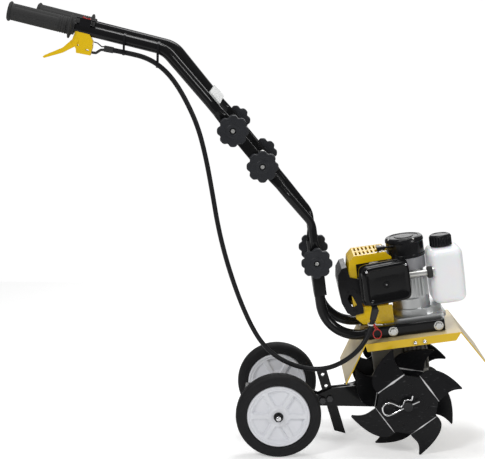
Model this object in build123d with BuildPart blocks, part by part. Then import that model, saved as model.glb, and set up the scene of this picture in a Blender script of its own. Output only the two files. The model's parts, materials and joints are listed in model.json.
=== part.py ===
from build123d import *
import math
import os

# A two-stroke mini tiller that stands on two transport wheels and its tines.
# Millimetres. X runs forward, Y to the left, Z up. The origin is on the floor,
# at the middle of the machine's length and width.

os.makedirs("parts", exist_ok=True)

# ---- driving dimensions -------------------------------------------------------
DECK_TILT = 8.0            # the engine, deck and gearbox lean back by this angle
SHAFT_X, SHAFT_Z = 315.0, 116.5   # centre of the tine shaft
FIT = 0.06                 # radial clearance of a pin that turns in a hole
GAP = 0.3                  # space between faces of pieces that move past each other

BOLT_R = 4.0               # M8 bolts throughout
TUBE_R = 11.0              # upper and lower handle tubes
SLIM_R = 8.5               # middle handle tubes
TONGUE_T = 7.0             # thickness of a flattened tube end
LOWER_Y = 60.0             # lower tubes, out from the centre plane
RAIL_H, RAIL_W = 25.0, 18.0

KNOB_R, KNOB_T, KNOB_BOSS = 27.0, 14.0, 4.4
KNOB_LOBES, LOBE_R = 8, 6.0

WHEEL_X, WHEEL_Y, WHEEL_R, WHEEL_W = 46.0, 118.0, 90.0, 32.0
RIM_R = 66.0
AXLE_R = 6.0

TINE_R = 120.0             # tip circle
TINE_T = 5.0
TINE_SHAFT_R = 10.0
TINE_HALF_WIDTH = 142.0

CRANK_X = 45.0             # crank and worm axis, forward of the tine shaft
DECK_Y = 95.0              # half width of the mudguard
DECK_Z = 129.5             # underside of the deck plate
SHEET = 2.5

c_tilt, s_tilt = math.cos(math.radians(DECK_TILT)), math.sin(math.radians(DECK_TILT))
FORWARD = Vector(c_tilt, 0, s_tilt)
UPWARD = Vector(-s_tilt, 0, c_tilt)
SHAFT = Vector(SHAFT_X, 0, SHAFT_Z)
SIDES = (("right", -1), ("left", 1))


# ---- placing planes -----------------------------------------------------------
def base_point(x, y, z):
    """A point given along the leaning deck: forward, left and up from the tine shaft."""
    return SHAFT + FORWARD * x + Vector(0, y, 0) + UPWARD * z


def level(x, y, z):
    """Parallel to the deck. Its sketches run forward and to the left."""
    return Plane(origin=base_point(x, y, z), x_dir=FORWARD, z_dir=UPWARD)


def to_right(x, y, z):
    """Faces the machine's right. Its sketches run forward and up along the deck."""
    return Plane(origin=base_point(x, y, z), x_dir=FORWARD, z_dir=(0, -1, 0))


def to_front(x, y, z):
    """Faces forward along the deck. Its sketches run to the left and up."""
    return Plane(origin=base_point(x, y, z), x_dir=(0, 1, 0), z_dir=FORWARD)


def upright(x, y, z):
    """Faces the machine's right, square to the floor. Its sketches run forward and up."""
    return Plane(origin=(x, y, z), x_dir=(1, 0, 0), z_dir=(0, -1, 0))


def across(point, direction):
    """A section plane square to a tube, its first sketch axis across the machine."""
    return Plane(origin=point, x_dir=(0, 1, 0), z_dir=direction)


def save(piece, name):
    """Labels a finished piece and writes its file."""
    piece.part.label = name
    export_step(piece.part, f"parts/{name}.step")


def unit(a, b):
    """The direction from point a to point b."""
    return (Vector(*b) - Vector(*a)).normalized()


# ---- handle tubes -------------------------------------------------------------
# Each handle side is three tubes. Their centre lines are given for the left side,
# as forward, outward and up, and mirrored by the sign of the side.
LOWER_TOP = (118.0, 430.0)
LOWER_CORNER = (147.0, 239.0)
RAIL_REAR, RAIL_FRONT = -66.0, 103.0
RAIL_Z = 145.0
HINGE_LOW = (124.5, 410.0)       # knob joining lower and middle tubes
HINGE_HIGH = (11.0, 616.0)       # lower of the two knobs at the upper joint
KNOB_PITCH = 93.5                # from that knob to the one above it
MIDDLE_CORNER = (113.6, 492.0)
TONGUE_LOW_Y = LOWER_Y + TUBE_R + GAP + TONGUE_T / 2
MIDDLE_TOP_Y = 100.0
UPPER_Y = MIDDLE_TOP_Y + TONGUE_T + GAP
HANDLE_BEND = (-183.0, 850.0)
HANDLE_BEND_Y, GRIP_Y = 136.0, 150.0
HANDLE_END = (-480.0, 924.0)
GRIP_CAP = 6.2                   # rubber beyond the tube's end

slope = Vector(MIDDLE_CORNER[0] - HINGE_HIGH[0], 0, MIDDLE_CORNER[1] - HINGE_HIGH[1]).normalized()


def on_slope(distance, y):
    """A point on the sloping joint line, measured down from the lower of its two knobs."""
    return Vector(HINGE_HIGH[0], y, HINGE_HIGH[1]) + slope * distance


KNOB_TOP = on_slope(-KNOB_PITCH, 0)

for side, sign in SIDES:
    # Lower tube: down from the first knob, round the bend, and forward as a flat-sided rail.
    y = sign * LOWER_Y
    rail_rear = base_point(RAIL_REAR, y, RAIL_Z)
    with BuildPart() as lower_tube:
        with BuildLine() as lower_path:
            FilletPolyline((LOWER_TOP[0], y, LOWER_TOP[1]), (LOWER_CORNER[0], y, LOWER_CORNER[1]),
                           rail_rear, radius=78)
        with BuildSketch(Plane(lower_path.line @ 0, z_dir=lower_path.line % 0)):
            Circle(TUBE_R)
        sweep(path=lower_path.line)
        with BuildSketch(to_front(RAIL_REAR, y, RAIL_Z)):
            RectangleRounded(RAIL_W, RAIL_H, 5)
        extrude(amount=RAIL_FRONT - RAIL_REAR)
        with BuildSketch(upright(HINGE_LOW[0], 0, HINGE_LOW[1])):
            Circle(BOLT_R + FIT)
        extrude(amount=200, both=True, mode=Mode.SUBTRACT)
        with BuildSketch(to_right(0, 0, RAIL_Z)):
            with Locations((-6.5, 0), (90.0, 0)):
                Circle(BOLT_R + FIT)
        extrude(amount=200, both=True, mode=Mode.SUBTRACT)
    save(lower_tube, f"lower_tube_{side}")

    # Middle tube: a wide flat foot on the lower tube, a round shank, and a flat top.
    low_y, top_y = sign * TONGUE_LOW_Y, sign * MIDDLE_TOP_Y
    foot_end = Vector(134.0, low_y, 338.0)
    foot_dir = unit(foot_end, (MIDDLE_CORNER[0], low_y, MIDDLE_CORNER[1]))
    foot_top = foot_end + foot_dir * 96
    shank_low = foot_end + foot_dir * 116
    corner = Vector(MIDDLE_CORNER[0], low_y, MIDDLE_CORNER[1])
    shank_high = on_slope(54, top_y)
    flat_low = on_slope(34, top_y)
    with BuildPart() as middle_tube:
        with BuildSketch(across(foot_end, foot_dir)):
            RectangleRounded(TONGUE_T, 26, 3.4)
        extrude(amount=96)
        with BuildSketch(across(foot_top, foot_dir)):
            RectangleRounded(TONGUE_T, 26, 3.4)
        with BuildSketch(across(shank_low, foot_dir)):
            Circle(SLIM_R)
        loft()
        with BuildLine() as shank_path:
            FilletPolyline(shank_low, corner, on_slope(80, top_y), shank_high, radius=[40, 40])
        with BuildSketch(Plane(shank_path.line @ 0, z_dir=shank_path.line % 0)):
            Circle(SLIM_R)
        sweep(path=shank_path.line)
        with BuildSketch(across(shank_high, -slope)):
            Circle(SLIM_R)
        with BuildSketch(across(flat_low, -slope)):
            RectangleRounded(TONGUE_T, 20, 3.4)
        loft()
        with BuildSketch(across(flat_low, -slope)):
            RectangleRounded(TONGUE_T, 20, 3.4)
        extrude(amount=34 + KNOB_PITCH + 12)
        with BuildSketch(upright(0, 0, 0)):
            with Locations(HINGE_LOW, HINGE_HIGH):
                Circle(BOLT_R + FIT)
        extrude(amount=200, both=True, mode=Mode.SUBTRACT)
        # The top bolt leaves its hole sideways as the upper handle folds forward.
        notch = Plane(origin=(KNOB_TOP.X, 0, KNOB_TOP.Z), x_dir=slope, z_dir=(0, -1, 0))
        with BuildSketch(notch):
            with Locations((0, 7.5)):
                SlotOverall(24, 2 * BOLT_R + 1.4, rotation=90)
        extrude(amount=200, both=True, mode=Mode.SUBTRACT)
    save(middle_tube, f"middle_tube_{side}")

    # Upper tube: a flat foot outside the middle tube, then out and back to the grip.
    foot_y = sign * UPPER_Y
    flat_high = on_slope(-KNOB_PITCH - 28, foot_y)
    round_low = on_slope(-KNOB_PITCH - 50, foot_y)
    with BuildPart() as upper_tube:
        with BuildSketch(across(on_slope(14, foot_y), -slope)):
            RectangleRounded(TONGUE_T, 24, 3.4)
        extrude(amount=14 + KNOB_PITCH + 28)
        with BuildSketch(across(flat_high, -slope)):
            RectangleRounded(TONGUE_T, 24, 3.4)
        with BuildSketch(across(round_low, -slope)):
            Circle(TUBE_R)
        loft()
        with BuildLine() as upper_path:
            FilletPolyline(round_low, on_slope(-KNOB_PITCH - 72, foot_y),
                           (HANDLE_BEND[0], sign * HANDLE_BEND_Y, HANDLE_BEND[1]),
                           (HANDLE_END[0], sign * GRIP_Y, HANDLE_END[1]), radius=[60, 55])
        with BuildSketch(Plane(upper_path.line @ 0, z_dir=upper_path.line % 0)):
            Circle(TUBE_R)
        sweep(path=upper_path.line)
        with BuildSketch(upright(0, 0, 0)):
            with Locations((KNOB_TOP.X, KNOB_TOP.Z), HINGE_HIGH):
                Circle(BOLT_R + FIT)
        extrude(amount=200, both=True, mode=Mode.SUBTRACT)
    save(upper_tube, f"upper_tube_{side}")

    # Grip: a closed rubber sleeve with a small end rim, a hand guard rim and ring ribs.
    tube_end = Vector(HANDLE_END[0], sign * GRIP_Y, HANDLE_END[1])
    grip_dir = unit(tube_end, (HANDLE_BEND[0], sign * HANDLE_BEND_Y, HANDLE_BEND[1]))
    grip_end = tube_end - grip_dir * GRIP_CAP
    grip_plane = Plane(origin=grip_end, x_dir=grip_dir, z_dir=(0, -1, 0))
    with BuildPart() as grip:
        with BuildSketch(grip_plane):
            with BuildLine():
                Polyline((0, 0), (0, 18), (2, 20), (5, 20), (7, 17), (108, 17), (110, 18.5),
                         (112, 17), (114, 18.5), (116, 17), (121, 17), (123, 24), (127, 24),
                         (129, 16), (132, 15), (132, TUBE_R), (GRIP_CAP, TUBE_R), (GRIP_CAP, 0),
                         (0, 0))
            make_face()
        revolve(axis=Axis(grip_end, grip_dir))
    save(grip, f"grip_{side}")

# The cross strip is welded over the two upper tubes.
strip_at = on_slope(-KNOB_PITCH - 74, 0)
strip_normal = Vector(-slope.Z, 0, slope.X)
with BuildPart() as upper_crossbar:
    with BuildSketch(Plane(origin=strip_at + strip_normal * (TUBE_R + 0.05), x_dir=slope,
                           z_dir=strip_normal)):
        RectangleRounded(32, 236, 8)
    extrude(amount=4)
save(upper_crossbar, "upper_crossbar")


# ---- knobs and their bolts ----------------------------------------------------
def star_knob(x, y, z, sign):
    """A star knob whose boss starts at distance y from the centre plane."""
    outward = (0, sign, 0)
    start = Plane(origin=(x, sign * y, z), x_dir=(1, 0, 0), z_dir=outward)
    with BuildPart() as knob:
        with BuildSketch(start):
            Circle(13)
        extrude(amount=KNOB_BOSS)
        with BuildSketch(start.offset(KNOB_BOSS)):
            Circle(KNOB_R)
            with PolarLocations(KNOB_R - 0.5, KNOB_LOBES):
                Circle(LOBE_R)
        extrude(amount=KNOB_T)
        rims = knob.edges().filter_by(GeomType.CIRCLE).filter_by(lambda e: e.radius < LOBE_R + 0.1)
        chamfer(rims.group_by(Axis.Y)[-1 if sign > 0 else 0], 1.2)
        with BuildSketch(start):
            Circle(BOLT_R + FIT)
        extrude(amount=KNOB_BOSS + KNOB_T, mode=Mode.SUBTRACT)
        with BuildSketch(start.offset(KNOB_BOSS + KNOB_T)):
            Circle(6.5)
        extrude(amount=-5, mode=Mode.SUBTRACT)
    return knob


def knob_bolt(x, z, sign, head_y, tip_y):
    """A round-headed bolt lying across the machine, its head on the inner side."""
    outward = (0, sign, 0)
    head = Plane(origin=(x, sign * (head_y - 4), z), x_dir=(1, 0, 0), z_dir=outward)
    with BuildPart() as bolt:
        with BuildSketch(head):
            Circle(9)
        extrude(amount=4)
        chamfer(bolt.edges().group_by(Axis.Y)[0 if sign > 0 else -1], 1.5)
        with BuildSketch(head):
            Circle(BOLT_R)
        extrude(amount=tip_y - head_y + 4)
    return bolt.part


LOW_FACE = TONGUE_LOW_Y + TONGUE_T / 2 + GAP
HIGH_FACE = UPPER_Y + TONGUE_T / 2 + GAP
for side, sign in SIDES:
    save(star_knob(KNOB_TOP.X, HIGH_FACE, KNOB_TOP.Z, sign), f"knob_upper_{side}")
    save(star_knob(HINGE_HIGH[0], HIGH_FACE, HINGE_HIGH[1], sign), f"knob_middle_{side}")
    save(star_knob(HINGE_LOW[0], LOW_FACE, HINGE_LOW[1], sign), f"knob_lower_{side}")

HIGH_HEAD = MIDDLE_TOP_Y - TONGUE_T / 2 - GAP
HIGH_TIP = HIGH_FACE + KNOB_BOSS + KNOB_T - 2
LOW_TIP = LOW_FACE + KNOB_BOSS + KNOB_T - 2
with BuildPart() as handle_bolts:
    for side, sign in SIDES:
        add(knob_bolt(KNOB_TOP.X, KNOB_TOP.Z, sign, HIGH_HEAD, HIGH_TIP))
        add(knob_bolt(HINGE_HIGH[0], HINGE_HIGH[1], sign, HIGH_HEAD, HIGH_TIP))
save(handle_bolts, "handle_bolts")

# ---- throttle and stop switch on the right handle ------------------------------
# A frame on the right upper tube, between the grip and the bend.
bend_right = Vector(HANDLE_BEND[0], -HANDLE_BEND_Y, HANDLE_BEND[1])
end_right = Vector(HANDLE_END[0], -GRIP_Y, HANDLE_END[1])
tube_dir = (bend_right - end_right).normalized()
control_at = end_right + tube_dir * 141.5
control = Plane(origin=control_at, x_dir=tube_dir, z_dir=Vector(0, -1, 0) - tube_dir * (-tube_dir.Y))
LEVER_PIVOT = (-6.5, -24.5)

with BuildPart() as throttle_bracket:
    # Two cheeks under the tube, joined by a saddle that fits its underside.
    with BuildSketch(control):
        Polygon((-12, -4), (14, -4), (21, -12), (25.5, -18), (27, -30), (26, -46), (-2, -47.5),
                (-4, -40), (-13, -30), (-14.5, -22), align=None)
    extrude(amount=9, both=True)
    with BuildSketch(control):
        Polygon((-40, -13.5), (22, -13.5), (23.5, -18), (24.5, -30), (23.5, -43.5), (-40, -43.5),
                align=None)
    extrude(amount=6, both=True, mode=Mode.SUBTRACT)
    with BuildSketch(Plane(origin=control_at - tube_dir * 60, z_dir=tube_dir)):
        Circle(TUBE_R)
    extrude(amount=120, mode=Mode.SUBTRACT)
    with BuildSketch(control):
        with Locations((-1.5, -32)):
            Circle(1.5)
        with Locations((18, -37)):
            SlotOverall(7, 2.6)
    extrude(amount=20, both=True, mode=Mode.SUBTRACT)
    # The lever's pin is riveted over on both cheeks.
    with BuildSketch(control):
        with Locations(LEVER_PIVOT):
            Circle(2.5)
    extrude(amount=9, both=True)
    for cheek in (control.offset(9), control.offset(-10.8)):
        with BuildSketch(cheek):
            with Locations(LEVER_PIVOT):
                Circle(4.2)
        extrude(amount=1.8)
save(throttle_bracket, "throttle_bracket")

with BuildPart() as throttle_lever:
    with BuildSketch(control):
        with Locations(LEVER_PIVOT):
            Circle(7.5)
        Polygon((-13.5, -28), (-9.5, -16.5), (-30, -44), (-61, -66.5), (-64, -70.5), (-61, -72.5),
                (-28, -54), (-14, -42), (-3, -33), (-2, -28), align=None)
    extrude(amount=6 - GAP, both=True)
    with BuildSketch(control):
        with Locations(LEVER_PIVOT):
            Circle(2.5 + FIT)
    extrude(amount=20, both=True, mode=Mode.SUBTRACT)
save(throttle_lever, "throttle_lever")

ROCKER_PIN = (3.5, 19.8)
with BuildPart() as stop_switch:
    # A saddle on top of the tube with a plate and a box for the rocker.
    with BuildSketch(control):
        Polygon((-8, 3), (14, 3), (14, 19), (-8, 19), align=None)
    extrude(amount=9.5, both=True)
    with BuildSketch(control):
        Polygon((-15, 19), (24, 19), (24, 21.5), (-15, 21.5), align=None)
    extrude(amount=10, both=True)
    with BuildSketch(Plane(origin=control_at - tube_dir * 60, z_dir=tube_dir)):
        Circle(TUBE_R)
    extrude(amount=120, mode=Mode.SUBTRACT)
    with BuildSketch(control):
        Polygon((-5, 14), (12, 14), (12, 40), (-5, 40), align=None)
    extrude(amount=6.4, both=True, mode=Mode.SUBTRACT)
    with BuildSketch(control):
        with Locations(ROCKER_PIN):
            Circle(1.2 + FIT)
    extrude(amount=8, both=True, mode=Mode.SUBTRACT)
save(stop_switch, "stop_switch")

with BuildPart() as stop_rocker:
    with BuildSketch(control):
        Polygon((-4.2, 19.2), (3.5, 16.5), (11.2, 19.2), (11.0, 24.4), (3.5, 22.4), (-4.0, 24.4),
                align=None)
    extrude(amount=6, both=True)
    with BuildSketch(control):
        with Locations(ROCKER_PIN):
            Circle(1.2)
    extrude(amount=7.8, both=True)
save(stop_rocker, "stop_rocker")

# ---- cord: the control loom ----------------------------------------------------
LOOM_D = 10.0
LOOM = [
    (-283, -147, 849), (-251, -148, 843), (-219, -148, 835), (-190, -147, 818), (-165, -143, 791),
    (-141, -138, 750), (-118, -132, 697), (-103, -127, 635), (-91, -122, 565), (-79, -117, 488),
    (-60, -111, 409), (-32, -103, 324), (0, -94, 253), (33, -87, 213), (72, -84, 190),
    (111, -88, 181), (149, -100, 186), (184, -112, 206), (213, -116, 232), (234, -107, 262),
    (242, -95, 290),
]
loom_points = [Vector(*p) for p in LOOM]
loom_radii = []
for before, here, after in zip(loom_points, loom_points[1:], loom_points[2:]):
    turn = (here - before).get_angle(after - here)
    shorter = min((here - before).length, (after - here).length)
    loom_radii.append(0.45 * shorter / math.tan(math.radians(turn / 2)))
print("loom radii", [round(r) for r in loom_radii])
with BuildPart() as control_loom:
    with BuildLine() as loom_path:
        FilletPolyline(*loom_points, radius=loom_radii)
    with BuildSketch(Plane(loom_path.line @ 0, z_dir=loom_path.line % 0)):
        Circle(LOOM_D / 2)
    sweep(path=loom_path.line)
loom_length = loom_path.wires()[0].length
print("loom length", round(loom_length), "tube volume", round(control_loom.part.volume),
      "section by length", round(math.pi * LOOM_D ** 2 / 4 * loom_length))
save(control_loom, "control_loom")

# The boot at the engine: an elbow out of the cylinder cover and a tapered sleeve.
boot_end = loom_points[-1]
boot_dir = (loom_points[-2] - boot_end).normalized()
boot_top = boot_end - boot_dir * 24
with BuildPart() as loom_boot:
    with BuildSketch(Plane(origin=boot_end, z_dir=-boot_dir)):
        Circle(6.5)
    with BuildSketch(Plane(origin=boot_top, z_dir=-boot_dir)):
        Circle(8)
    loft()
    with BuildSketch(Plane(origin=boot_top, z_dir=(0, 1, 0))):
        Circle(6)
    extrude(amount=boot_top.Y * -1 - 52.0)
save(loom_boot, "loom_boot")

# Cables from the bracket and the switch into the sleeve where the loom starts.
sleeve_end = loom_points[0]
sleeve_dir = (loom_points[0] - loom_points[1]).normalized()
sleeve_start = sleeve_end + sleeve_dir * 18
cable_out = control.from_local_coords((27.3, -40, 0))
lead_out = control.from_local_coords((27.2, -19, 0))
with BuildPart() as control_cables:
    with BuildSketch(Plane(origin=sleeve_end, z_dir=sleeve_dir)):
        Circle(6.2)
    extrude(amount=18)
    cable_in = sleeve_start + Vector(1, 0, -2.6)
    with BuildLine() as cable_path:
        FilletPolyline(cable_out, cable_out + Vector(8, 0, -1), cable_in - Vector(8, 0, 0), cable_in,
                       radius=4)
    with BuildSketch(Plane(cable_path.line @ 0, z_dir=cable_path.line % 0)):
        Circle(2.6)
    sweep(path=cable_path.line)
    lead_in = sleeve_start + Vector(1, 0, 3.6)
    with BuildLine() as lead_path:
        FilletPolyline(lead_out, lead_out + Vector(7, -1, -2), lead_in - Vector(6, 0, 0), lead_in,
                       radius=3)
    with BuildSketch(Plane(lead_path.line @ 0, z_dir=lead_path.line % 0)):
        Circle(1.2)
    sweep(path=lead_path.line)
save(control_cables, "control_cables")

# ---- engine: crankcase, cylinder and what turns in them -------------------------
with BuildPart() as clutch_housing:
    with BuildSketch(level(0, 0, DECK_Z + SHEET)):
        with Locations((43.5, 0)):
            RectangleRounded(126, 2 * (LOWER_Y - RAIL_W / 2), 4)
    extrude(amount=26)
    with BuildSketch(level(0, 0, DECK_Z + SHEET + 26)):
        with Locations((56.5, 0)):
            RectangleRounded(110, 104, 14)
    extrude(amount=7)
    with BuildSketch(level(0, 0, DECK_Z + SHEET + 33)):
        with Locations((54.5, 0)):
            SlotOverall(106, 86)
    extrude(amount=14)
    with BuildSketch(level(CRANK_X, 0, DECK_Z + SHEET + 47)):
        Circle(40)
    extrude(amount=22)
    with BuildSketch(level(CRANK_X, 0, DECK_Z + SHEET + 6)):
        Circle(36)
    extrude(amount=56, mode=Mode.SUBTRACT)
    with BuildSketch(level(CRANK_X, 0, DECK_Z)):
        Circle(11)
    extrude(amount=80, mode=Mode.SUBTRACT)
    with BuildSketch(to_right(0, 0, RAIL_Z)):
        with Locations((-6.5, 0), (90, 0)):
            Circle(BOLT_R + FIT)
    extrude(amount=80, both=True, mode=Mode.SUBTRACT)
save(clutch_housing, "clutch_housing")
CASE_Z = DECK_Z + SHEET + 69      # joint between clutch housing and crankcase

with BuildPart() as crankcase:
    with BuildSketch(level(CRANK_X, 0, CASE_Z)):
        RectangleRounded(62, 72, 12)
    extrude(amount=62)
    # Cooling ribs on the front and both sides.
    with BuildSketch(level(CRANK_X, 0, CASE_Z + 4)):
        for k in range(-4, 5):
            with Locations((32, 7 * k)):
                Rectangle(10, 2.6)
        for k in range(0, 4):
            with Locations((3 + 7 * k, 38), (3 + 7 * k, -38)):
                Rectangle(2.6, 10)
    extrude(amount=42)
    with BuildSketch(level(CRANK_X, 0, CASE_Z + 6)):
        Circle(27)
    extrude(amount=50, mode=Mode.SUBTRACT)
    with BuildSketch(level(CRANK_X, 0, CASE_Z)):
        Circle(7 + FIT)
    extrude(amount=70, mode=Mode.SUBTRACT)
    with BuildSketch(to_front(0, 0, CASE_Z + 31)):
        Circle(20)
    extrude(amount=40, mode=Mode.SUBTRACT)
save(crankcase, "crankcase")

CYL_Z = CASE_Z + 31
BORE_R = 20.0
CYL_FRONT, CYL_REAR = CRANK_X - 31, -58.0
with BuildPart() as cylinder:
    with BuildSketch(to_front(CYL_REAR, 0, CYL_Z)):
        Circle(25)
    extrude(amount=CYL_FRONT - CYL_REAR)
    for k in range(8):
        with BuildSketch(to_front(CYL_REAR + 7.2 * k, 0, CYL_Z)):
            RectangleRounded(76, 66, 10)
        extrude(amount=2.4)
    with BuildSketch(to_right(-20, 0, CYL_Z)):
        RectangleRounded(30, 24, 3)
    extrude(amount=51, both=True)
    with BuildSketch(to_front(CYL_REAR + 8, 0, CYL_Z)):
        Circle(BORE_R)
    extrude(amount=CYL_FRONT - CYL_REAR, mode=Mode.SUBTRACT)
    with BuildSketch(to_right(-20, 0, CYL_Z)):
        Circle(8)
    extrude(amount=60, both=True, mode=Mode.SUBTRACT)
    with BuildSketch(to_front(CYL_REAR - 1, 0, CYL_Z)):
        Circle(7)
    extrude(amount=20, mode=Mode.SUBTRACT)
save(cylinder, "cylinder")

with BuildPart() as piston:
    with BuildSketch(to_front(-30, 0, CYL_Z)):
        Circle(BORE_R - FIT)
    extrude(amount=30)
    with BuildSketch(to_front(-24, 0, CYL_Z)):
        Circle(BORE_R - 4)
    extrude(amount=30, mode=Mode.SUBTRACT)
save(piston, "piston")

with BuildPart() as spark_plug:
    with BuildSketch(to_front(CYL_REAR + 10, 0, CYL_Z)):
        Circle(6.9)
    extrude(amount=-10)
    with BuildSketch(to_front(CYL_REAR, 0, CYL_Z)):
        RegularPolygon(9.5, 6)
    extrude(amount=-8)
    with BuildSketch(to_front(CYL_REAR - 8, 0, CYL_Z)):
        Circle(5)
    extrude(amount=-16)
save(spark_plug, "spark_plug")

with BuildPart() as plug_cap:
    with BuildSketch(to_front(CYL_REAR - 12, 0, CYL_Z)):
        Circle(9)
    extrude(amount=-24)
    with BuildSketch(level(CYL_REAR - 26, 0, CYL_Z)):
        Circle(6)
    extrude(amount=-24)
    with BuildSketch(to_front(CYL_REAR - 12, 0, CYL_Z)):
        Circle(5)
    extrude(amount=-12, mode=Mode.SUBTRACT)
save(plug_cap, "plug_cap")

FAN_Z = CASE_Z + 62
with BuildPart() as fan_housing:
    with BuildSketch(level(CRANK_X, 0, FAN_Z)):
        Circle(40)
    extrude(amount=27)
    with BuildSketch(level(CRANK_X, 0, FAN_Z + 3)):
        Circle(36.5)
    extrude(amount=30, mode=Mode.SUBTRACT)
    with BuildSketch(level(CRANK_X, 0, FAN_Z)):
        Circle(9)
    extrude(amount=5, mode=Mode.SUBTRACT)
save(fan_housing, "fan_housing")

with BuildPart() as flywheel:
    with BuildSketch(level(CRANK_X, 0, FAN_Z + 6)):
        Circle(33)
        Circle(6, mode=Mode.SUBTRACT)
    extrude(amount=5)
    with BuildSketch(level(CRANK_X, 0, FAN_Z + 11)):
        with PolarLocations(25, 14):
            Rectangle(14, 2.4)
    extrude(amount=12)
    with BuildSketch(level(CRANK_X, 0, FAN_Z + 11)):
        Circle(14)
        Circle(6, mode=Mode.SUBTRACT)
    extrude(amount=6)
save(flywheel, "flywheel")

CLUTCH_Z = DECK_Z + SHEET + 34
with BuildPart() as crankshaft:
    with BuildSketch(level(CRANK_X, 0, CASE_Z - 16)):
        Circle(6)
    extrude(amount=16)
    with BuildSketch(level(CRANK_X, 0, CASE_Z)):
        Circle(7)
    extrude(amount=62)
    with BuildSketch(level(CRANK_X, 0, FAN_Z)):
        Circle(6)
    extrude(amount=22)
    for z in (CASE_Z + 12, CASE_Z + 40):
        with BuildSketch(level(CRANK_X, 0, z)):
            Circle(25.5)
        extrude(amount=10)
    with BuildSketch(level(CRANK_X + 14, 0, CASE_Z + 20)):
        Circle(5)
    extrude(amount=22)
    # Centrifugal clutch: hub and two shoes inside the drum.
    with BuildSketch(level(CRANK_X, 0, CLUTCH_Z + 8)):
        Circle(30)
        Rectangle(80, 5, mode=Mode.SUBTRACT)
        Circle(10)
    extrude(amount=CASE_Z - 10 - CLUTCH_Z - 8)
save(crankshaft, "crankshaft")

# ---- recoil starter ------------------------------------------------------------
START_Z = FAN_Z + 27
START_H = 43.0
ROPE_Y = -30.0
ROPE_Z = START_Z + 29.0
with BuildPart() as recoil_cover:
    with BuildSketch(level(CRANK_X, 0, START_Z)):
        Circle(41.5)
    extrude(amount=START_H, taper=2)
    fillet(recoil_cover.edges().group_by(Axis(SHAFT, UPWARD))[-1], 4)
    with BuildSketch(level(CRANK_X, 0, START_Z)):
        Circle(36.5)
    extrude(amount=START_H - 3, mode=Mode.SUBTRACT)
    with BuildSketch(Plane(origin=base_point(CRANK_X, ROPE_Y, ROPE_Z), x_dir=(0, 1, 0), z_dir=-FORWARD)):
        Circle(3)
    extrude(amount=60, mode=Mode.SUBTRACT)
    with BuildSketch(level(CRANK_X, 0, START_Z + START_H - 16)):
        Circle(5)
    extrude(amount=14)
save(recoil_cover, "recoil_cover")

with BuildPart() as starter_pulley:
    with BuildSketch(level(CRANK_X, 0, START_Z + 26)):
        Circle(30)
        Circle(5 + FIT, mode=Mode.SUBTRACT)
    extrude(amount=13)
    with BuildSketch(to_right(CRANK_X, 0, 0)):
        with BuildLine():
            Polyline((34, START_Z + 28), (26, START_Z + 28), (26, START_Z + 37), (34, START_Z + 37),
                     (34, START_Z + 28))
        make_face()
    revolve(axis=Axis(base_point(CRANK_X, 0, 0), UPWARD), mode=Mode.SUBTRACT)
save(starter_pulley, "starter_pulley")

HANDLE_X = CRANK_X - 47.0
with BuildPart() as starter_handle:
    with BuildSketch(to_front(HANDLE_X - 16, ROPE_Y, ROPE_Z)):
        RectangleRounded(26, 10, 4)
    extrude(amount=8)
    with BuildSketch(to_front(HANDLE_X - 8, ROPE_Y, ROPE_Z)):
        RectangleRounded(16, 8, 3)
    extrude(amount=10)
    with BuildSketch(to_front(HANDLE_X + 2, ROPE_Y, ROPE_Z)):
        Circle(2)
    extrude(amount=20)
save(starter_handle, "starter_handle")

# ---- covers, exhaust, intake and fuel --------------------------------------------
COVER_Y, WALL = 46.0, 2.5
with BuildPart() as cylinder_cover:
    with BuildSketch(to_right(0, 0, 0)):
        with BuildLine():
            Polyline((0, 158.5), (0, 262), (10, 266), (10, 301), (-2, 312), (-68, 312), (-80, 300),
                     (-84, 276), (-82, 200), (-79, 176), (-66, 162), (-24, 158.5), (0, 158.5))
        make_face()
    extrude(amount=COVER_Y, both=True)
    with BuildSketch(to_right(0, 0, 0)):
        with BuildLine():
            Polyline((40, 169), (40, 299), (-3, 309.5), (-66, 309.5), (-77, 299), (-81, 276),
                     (-79, 200), (-76, 178), (-64, 169), (40, 169))
        make_face()
    extrude(amount=COVER_Y - WALL, both=True, mode=Mode.SUBTRACT)
    # Side windows for the exhaust and the intake, and a rear window round the plug cap.
    with BuildSketch(to_right(0, 0, 0)):
        with BuildLine():
            Polyline((-68, 200), (40, 196), (40, 298), (-66, 294), (-68, 200))
        make_face()
    extrude(amount=80, both=True, mode=Mode.SUBTRACT)
    with BuildSketch(to_front(-60, 0, CYL_Z - 6)):
        RectangleRounded(40, 62, 8)
    extrude(amount=-40, mode=Mode.SUBTRACT)
    # Louvres across the top.
    with BuildSketch(level(0, 0, 300)):
        for k in range(8):
            with Locations((-62 + 8.5 * k, -22), (-62 + 8.5 * k, 22)):
                RectangleRounded(4.2, 34, 1.5)
    extrude(amount=20, mode=Mode.SUBTRACT)
save(cylinder_cover, "cylinder_cover")

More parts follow.
